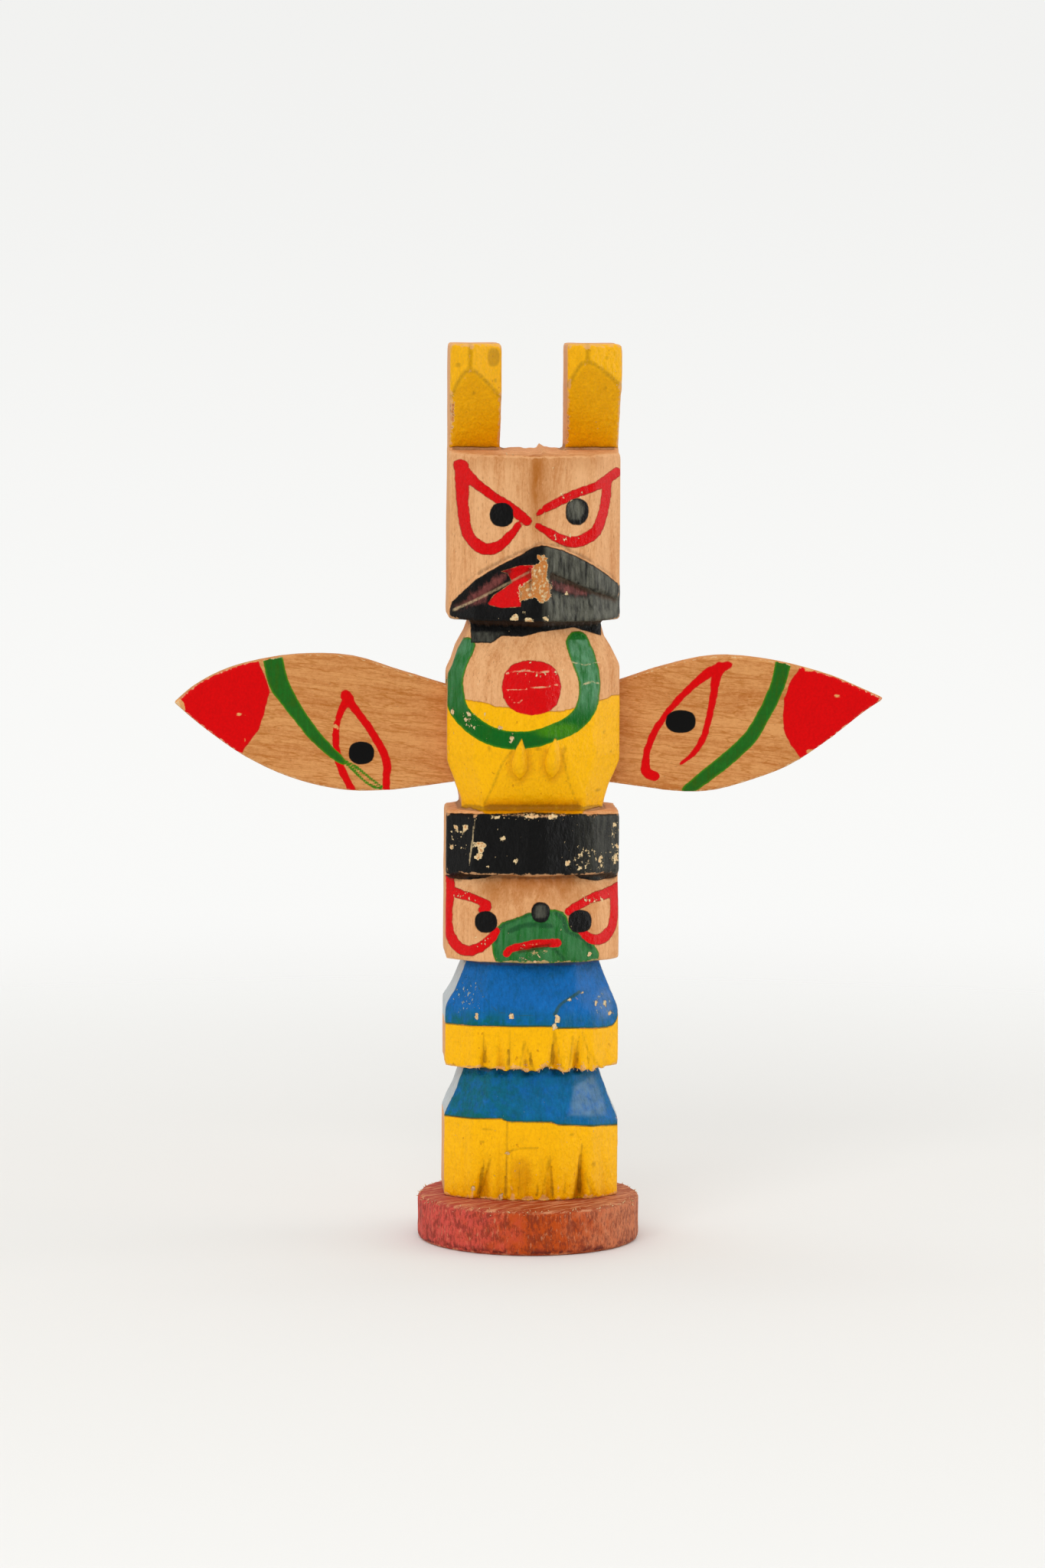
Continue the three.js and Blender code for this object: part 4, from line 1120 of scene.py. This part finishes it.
def painted_wing_material(c):
    material, w, shader = new_material("painted wing wood")
    at = w.place()
    along = w.stretch(at, turn=(0, radians(WING_GRAIN_TURN), 0))
    grain = placed(w, "grain", Vector=along, Pale=c.wing_wood, Dark=c.wing_grain, Pore=c.pore, Contrast=0.9,
                   Pores=0.4)
    waves = w.swing(along, (0.9, 0.9, 0.12), 3.0, 0.5)
    lines = w.step(w.math("ABSOLUTE", waves), 0.035, 0.004)
    coats = Coats(w, at, w.mix(w.times(lines, 0.55), grain["Color"], c.stained_wood))
    coats.lay("red", c.red, c.thin_red, Ragged=0.25, Streaks=0.08, Rim=0.3)
    coats.lay("green", c.green, c.thin_green, Ragged=0.16, Streaks=0.9, Rim=0.4, Opacity=0.98)
    coats.lay("black", c.black, c.black, Ragged=0.12, Streaks=0.1)
    coats.wash("chips", c.wing_wood, Ragged=0.3, Softness=0.06, Streaks=0.5)
    covered = w.larger(*coats.covers)
    # Grime and painted shade in the creases, and pale rubbing on the edges.
    tone = crease_shaded_and_rubbed(w, c, at, coats.tone, 0.4, c.chipped_wood, 0.7)
    height = w.line(covered, 0.02, w.times(grain["Height"], w.line(covered, -0.45, 1.0)))
    finish_surface(w, shader, tone, w.line(covered, -0.15, 0.62), height, specular=0.1)
    return material


def stained_base_material(c):
    material, w, shader = new_material("stained wood")
    at = w.place()
    across, _, up = w.add("ShaderNodeSeparateXYZ", {0: at}).outputs
    wander = w.noise(w.stretch(at, (0.6, 0.6, 0.6), shift=(3.3, 1.7, 5.1)), 1.0, 3.0)
    swing = w.line(wander, 16.0, w.math("SUBTRACT", across, 8.0))
    stain = w.mix(w.step(swing, -14.0, 2.0), c.base_red, c.base_brown)
    stain = w.mix(w.step(swing, 3.0, 15.0, 0.0, 0.5), stain, c.base_pale)
    fibres = w.noise(at, (1.9, 1.9, 0.85), 5.0, 0.72)
    hairs = w.noise(w.stretch(at, (4.3, 4.3, 1.6), shift=(0.4, 0.7, 0.2)), 1.0, 3.0, 0.7)
    mottle = w.line(w.noise(at, 0.5, 3.0), 0.5, fibres)
    mottle = w.line(hairs, 0.35, w.math("SUBTRACT", mottle, 0.175))
    dark = w.mix(0.72, stain, c.base_dark)
    rim = w.mix(w.step(mottle, 0.6, 0.85), dark, stain)
    fluff = w.step(w.noise(at, (2.4, 2.4, 0.8), 4.0, 0.7), 0.56, 0.7)
    rim = w.mix(w.times(fluff, 0.55), rim, c.base_pale)
    turned = w.stretch(at, turn=(0, 0, radians(SAW_TURN)))
    sawn = w.noise(turned, (0.16, 1.3, 1.0), 4.0, 0.65)
    top = w.mix(w.step(sawn, 0.44, 0.64, 0.0, 0.85), w.mix(0.35, dark, stain), c.base_pale)
    side = w.field("side")
    low = w.share(w.step(up, 1.5, 0.3), w.step(w.noise(at, 0.9, 3.0), 0.42, 0.6))
    tone = w.mix(w.times(low, side), w.mix(side, top, rim), c.base_edge)
    # Grime and painted shade in the creases, and pale rubbing on the edges.
    tone = crease_shaded_and_rubbed(w, c, at, tone, 0.3, c.base_pale, 0.35)
    height = w.mix(side, sawn, fibres)
    finish_surface(w, shader, tone, 0.68, height, specular=0.2, depth=0.12 * MM)
    return material


def fibre_material(c):
    material, w, shader = new_material("torn fibres")
    grain = placed(w, "grain", Vector=w.place(), Pale=c.chipped_wood, Dark=c.grain_wood, Pore=c.pore,
                   Contrast=0.9, Pores=0.2)
    finish_surface(w, shader, grain["Color"], 0.75, grain["Height"])
    return material


def floor_material(c):
    """A pale floor that fades into the backdrop, by the distance in mm from a place behind the part."""
    material, w, shader = new_material("pale floor")
    at = w.place()
    tone = w.mix(w.noise(at, 0.002, 2.0), c.floor, tuple(0.985 * part for part in c.floor))
    behind = w.stretch(at, shift=(0, 20, 0))
    reach = w.add("ShaderNodeVectorMath", {0: behind}, operation="LENGTH").outputs["Value"]
    for name, value in (("Base Color", tone), ("Alpha", w.step(reach, 90.0, 430.0, 1.0, 0.0)),
                        ("Roughness", 0.9), ("Specular IOR Level", 0.1)):
        w.plug(value, shader.inputs[name])
    return material


# Torn fibres

# Turns a count for each square centimetre into one for each square metre.
PER_SQUARE_CM = 10000.0
# A splinter's corners, and its radius at the tip, in metres.
SPLINTER_CORNERS = 4
SPLINTER_TIP = 0.01 * MM
# How a splinter leans to the sides and is turned, in radians, and its size beside the set one.
LEAST_LEAN = (-0.7, -0.7, 0.0)
MOST_LEAN = (0.7, 0.7, 6.28)
LEAST_GROWTH = 0.45
MOST_GROWTH = 1.3


def fibre_tree(material):
    """Scatters thin splinters over the frayed edges of a mesh."""
    tree, w, given, out = new_group(
        "Torn Fibres",
        {"Geometry": ("geometry", None), "Density": ("value", None), "Length": ("value", None),
         "Thickness": ("value", None), "Seed": ("whole", None)},
        {"Geometry": "geometry"}, "GeometryNodeTree")
    seed = given["Seed"]
    frayed = w.add("GeometryNodeInputNamedAttribute", {"Name": "fray"}, data_type="FLOAT").outputs[0]
    density = w.times(frayed, given["Density"])
    spots = w.add("GeometryNodeDistributePointsOnFaces", {
        "Mesh": given["Geometry"], "Density": density, "Seed": seed}, distribute_method="RANDOM").outputs
    splinter = w.add("GeometryNodeMeshCone", {
        "Vertices": SPLINTER_CORNERS, "Radius Top": SPLINTER_TIP, "Radius Bottom": given["Thickness"],
        "Depth": given["Length"]})
    lean = w.add("FunctionNodeRandomValue", {0: LEAST_LEAN, 1: MOST_LEAN, "Seed": seed},
                 data_type="FLOAT_VECTOR").outputs[0]
    leaning = w.add("FunctionNodeEulerToRotation", {0: lean}).outputs[0]
    aim = w.add("FunctionNodeAlignRotationToVector", {"Vector": spots["Normal"]}, axis="Z").outputs[0]
    turned = w.add("FunctionNodeRotateRotation", {"Rotation": aim, "Rotate By": leaning},
                   rotation_space="LOCAL").outputs[0]
    grow = w.add("FunctionNodeRandomValue", {2: LEAST_GROWTH, 3: MOST_GROWTH, "Seed": seed},
                 data_type="FLOAT").outputs[1]
    stood = w.add("GeometryNodeInstanceOnPoints", {
        "Points": spots["Points"], "Instance": splinter.outputs["Mesh"], "Rotation": turned, "Scale": grow})
    real = w.add("GeometryNodeRealizeInstances", {0: stood.outputs[0]})
    coated = w.add("GeometryNodeSetMaterial", {"Geometry": real.outputs[0], "Material": material})
    w.plug(coated.outputs[0], out["Geometry"])
    return tree


def grow_fibres(source, tree, share, settings):
    """Grows splinters on a piece that carries a fray field, as a plain mesh of their own."""
    holder = new_object(source + "_holder", bpy.data.objects[source].data)
    modifier = holder.modifiers.new("Fibres", "NODES")
    modifier.node_group = tree
    names = {item.name: item.identifier for item in tree.interface.items_tree if item.in_out == "INPUT"}
    modifier[names["Density"]] = share * settings.fibre_count * PER_SQUARE_CM
    modifier[names["Length"]] = settings.sizes.fibre_length
    modifier[names["Thickness"]] = settings.sizes.fibre_thickness
    modifier[names["Seed"]] = settings.seed
    grown = finished_mesh(holder)
    if not grown.vertices:
        raise RuntimeError("no fibres grew on " + source)
    return grown


# Operators

class CarvePole(bpy.types.Operator):
    """Carve and paint the pole"""
    bl_idname = "totem.carve_pole"
    bl_label = "Carve Pole"

    def execute(self, context):
        settings = context.scene.totem
        material = painted_pole_material(settings.colours)
        new_piece("painted_pole", carve_pole(settings.sizes), material, "pole")
        return {"FINISHED"}


class CutWings(bpy.types.Operator):
    """Cut and paint the two wings"""
    bl_idname = "totem.cut_wings"
    bl_label = "Cut Wings"

    def execute(self, context):
        settings = context.scene.totem
        material = painted_wing_material(settings.colours)
        for node, picture in (("left_wing", LEFT_WING), ("right_wing", RIGHT_WING)):
            mesh = carve_wing(node, picture, settings.sizes)
            new_piece("painted_" + node, mesh, material, node)
        return {"FINISHED"}


class TurnBase(bpy.types.Operator):
    """Turn and stain the round base"""
    bl_idname = "totem.turn_base"
    bl_label = "Turn Base"

    def execute(self, context):
        settings = context.scene.totem
        material = stained_base_material(settings.colours)
        new_piece("stained_base", turn_base(settings.sizes), material, "base_disc")
        return {"FINISHED"}


class FrayEdges(bpy.types.Operator):
    """Raise torn fibres on the sawn edges"""
    bl_idname = "totem.fray_edges"
    bl_label = "Fray Edges"

    def execute(self, context):
        settings = context.scene.totem
        material = fibre_material(settings.colours)
        tree = fibre_tree(material)
        for source, name, share, slot in (("painted_pole", "pole_fibres", 1.0, "painted_wood"),
                                          ("stained_base", "base_fibres", 0.5, "stained_wood")):
            new_piece(name, grow_fibres(source, tree, share, settings), material, None)
        return {"FINISHED"}


class SetStage(bpy.types.Operator):
    """Set the floor, lights and camera"""
    bl_idname = "totem.set_stage"
    bl_label = "Set Stage"

    def execute(self, context):
        scene = context.scene
        lay_floor(scene.totem.colours)
        for light in LIGHTS:
            hang_light(*light)
        light_world(scene)
        aim_camera(scene)
        scene.view_settings.view_transform = "Standard"
        return {"FINISHED"}


# Stage

# Linear colours of the room's light and of the backdrop.
ROOM_COLOUR = (1.0, 0.985, 0.96)
BACKDROP_COLOUR = (1.0, 1.0, 0.985)
# Radii of the floor's rings in metres, and the corners of each ring.
FLOOR_RINGS = (0.2, 0.5, 1.0, 2.0, 4.0, 8.0)
FLOOR_CORNERS = 64
# The camera of the reference view: its place in metres and its turns in degrees.
CAMERA_DISTANCE = 0.832
CAMERA_HEIGHT = 0.1582
CAMERA_ASIDE = -0.00128
CAMERA_TURN = -3.0
CAMERA_TILT = 5.95
CAMERA_ROLL = 0.35
# The film's height in mm, and the view's focal length and height in the photo's pixels.
FILM = 36.0
FOCAL_PIXELS = 7000
PHOTO_PIXELS = 2048
NEAR_CLIP = 0.01
# Each light's name, its place, aim, width and height in metres, its strength in watts, whether it lights
# surfaces and whether it shows in their gloss.
LIGHTS = [
    ("overhead softbox", (-0.05, 0.2, 0.95), (0, 0, 0.05), 0.8, 0.6, 1.45, True, False),
    ("front softbox", (-0.3, -1.0, 0.6), (0, 0, 0.08), 0.9, 0.6, 5.2, True, False),
    ("right softbox", (0.75, -0.02, 0.25), (0, 0, 0.09), 0.45, 0.7, 1.2, True, False),
    ("right reflector", (0.75, -0.1, 0.2), (0, 0, 0.09), 0.4, 0.8, 5.0, False, True),
    ("left reflector", (-0.8, -0.25, 0.2), (0, 0, 0.09), 0.3, 0.8, 1.6, False, True),
]


def lay_floor(c):
    shape = bmesh.new()
    middle = shape.verts.new((0, 0, 0))
    turns = [2 * pi * i / FLOOR_CORNERS for i in range(FLOOR_CORNERS)]
    rows = [[shape.verts.new((r * cos(turn), r * sin(turn), 0)) for turn in turns] for r in FLOOR_RINGS]
    for i in range(FLOOR_CORNERS):
        after = (i + 1) % FLOOR_CORNERS
        shape.faces.new((middle, rows[0][i], rows[0][after]))
        for low, high in zip(rows, rows[1:]):
            shape.faces.new((low[i], high[i], high[after], low[after]))
    mesh = bpy.data.meshes.new("floor")
    shape.to_mesh(mesh)
    shape.free()
    mesh.materials.append(floor_material(c))
    new_object("floor", mesh)


def hang_light(name, place, aim, width, height, watts, lights, glints):
    light = bpy.data.lights.new(name, "AREA")
    light.shape = "RECTANGLE"
    light.size = width
    light.size_y = height
    light.energy = watts
    lamp = new_object(name, light)
    lamp.location = place
    lamp.rotation_euler = (Vector(aim) - Vector(place)).to_track_quat("-Z", "Y").to_euler()
    lamp.visible_camera = False
    lamp.visible_diffuse = lights
    lamp.visible_glossy = glints


def light_world(scene):
    """An even pale room, darker towards the camera's side, seen as a pale backdrop."""
    world = bpy.data.worlds.new("pale room")
    world.use_nodes = True
    w = Wiring(world.node_tree)
    toward = w.add("ShaderNodeSeparateXYZ", {0: w.add("ShaderNodeTexCoord").outputs["Generated"]}).outputs
    front = w.step(w.line(toward[2], -0.6, w.times(toward[1], -1.0)), 0.35, 0.95)
    room = world.node_tree.nodes["Background"]
    w.plug(ROOM_COLOUR, room.inputs["Color"])
    w.plug(w.line(front, -0.4, 0.7), room.inputs["Strength"])
    backdrop = w.add("ShaderNodeBackground", {"Color": BACKDROP_COLOUR})
    w.plug(w.step(toward[2], -0.12, 0.05, 0.952, 0.885), backdrop.inputs["Strength"])
    seen = w.add("ShaderNodeLightPath").outputs["Is Camera Ray"]
    both = w.add("ShaderNodeMixShader", {0: seen, 1: room.outputs[0], 2: backdrop.outputs[0]})
    w.plug(both.outputs[0], world.node_tree.nodes["World Output"].inputs["Surface"])
    scene.world = world


def aim_camera(scene):
    turn, tilt, roll = radians(CAMERA_TURN), radians(CAMERA_TILT), radians(CAMERA_ROLL)
    back = Vector((sin(turn), -cos(turn), 0))
    right = Vector((cos(turn), sin(turn), 0))
    forward = -back * cos(tilt) - Vector((0, 0, sin(tilt)))
    up = right.cross(forward)
    place = back * CAMERA_DISTANCE + right * CAMERA_ASIDE + Vector((0, 0, CAMERA_HEIGHT))
    rolled_right = right * cos(roll) + up * sin(roll)
    rolled_up = up * cos(roll) - right * sin(roll)
    lens = bpy.data.cameras.new("camera")
    lens.sensor_width = FILM
    lens.lens = FILM * FOCAL_PIXELS / PHOTO_PIXELS
    lens.clip_start = NEAR_CLIP
    camera = new_object("camera", lens)
    rows = Matrix((rolled_right, rolled_up, -forward)).transposed().to_4x4()
    camera.matrix_world = Matrix.Translation(place) @ rows
    scene.camera = camera


class TotemPanel(bpy.types.Panel):
    """Lists the totem pole's pieces and settings"""
    bl_idname = "VIEW3D_PT_totem"
    bl_label = "Totem Pole"
    bl_space_type = "VIEW_3D"
    bl_region_type = "UI"
    bl_category = "Totem Pole"

    def draw(self, context):
        settings = context.scene.totem
        for step in STEPS:
            self.layout.operator(step.bl_idname)
        for group in (settings.sizes, settings.colours):
            box = self.layout.box()
            for name in group.bl_rna.properties.keys():
                if name not in ("rna_type", "name"):
                    box.prop(group, name)
        self.layout.prop(settings, "fibre_count")
        self.layout.prop(settings, "seed")


STEPS = (CarvePole, CutWings, TurnBase, FrayEdges, SetStage)
CLASSES = (TotemSizes, TotemColours, TotemSettings, *STEPS, TotemPanel)


def register():
    for cls in CLASSES:
        bpy.utils.register_class(cls)
    bpy.types.Scene.totem = PointerProperty(type=TotemSettings)


def unregister():
    del bpy.types.Scene.totem
    for cls in reversed(CLASSES):
        bpy.utils.unregister_class(cls)


def main():
    register()
    bpy.ops.totem.carve_pole()
    bpy.ops.totem.cut_wings()
    bpy.ops.totem.turn_base()
    bpy.ops.totem.fray_edges()
    bpy.ops.totem.set_stage()


if __name__ == "__main__":
    main()
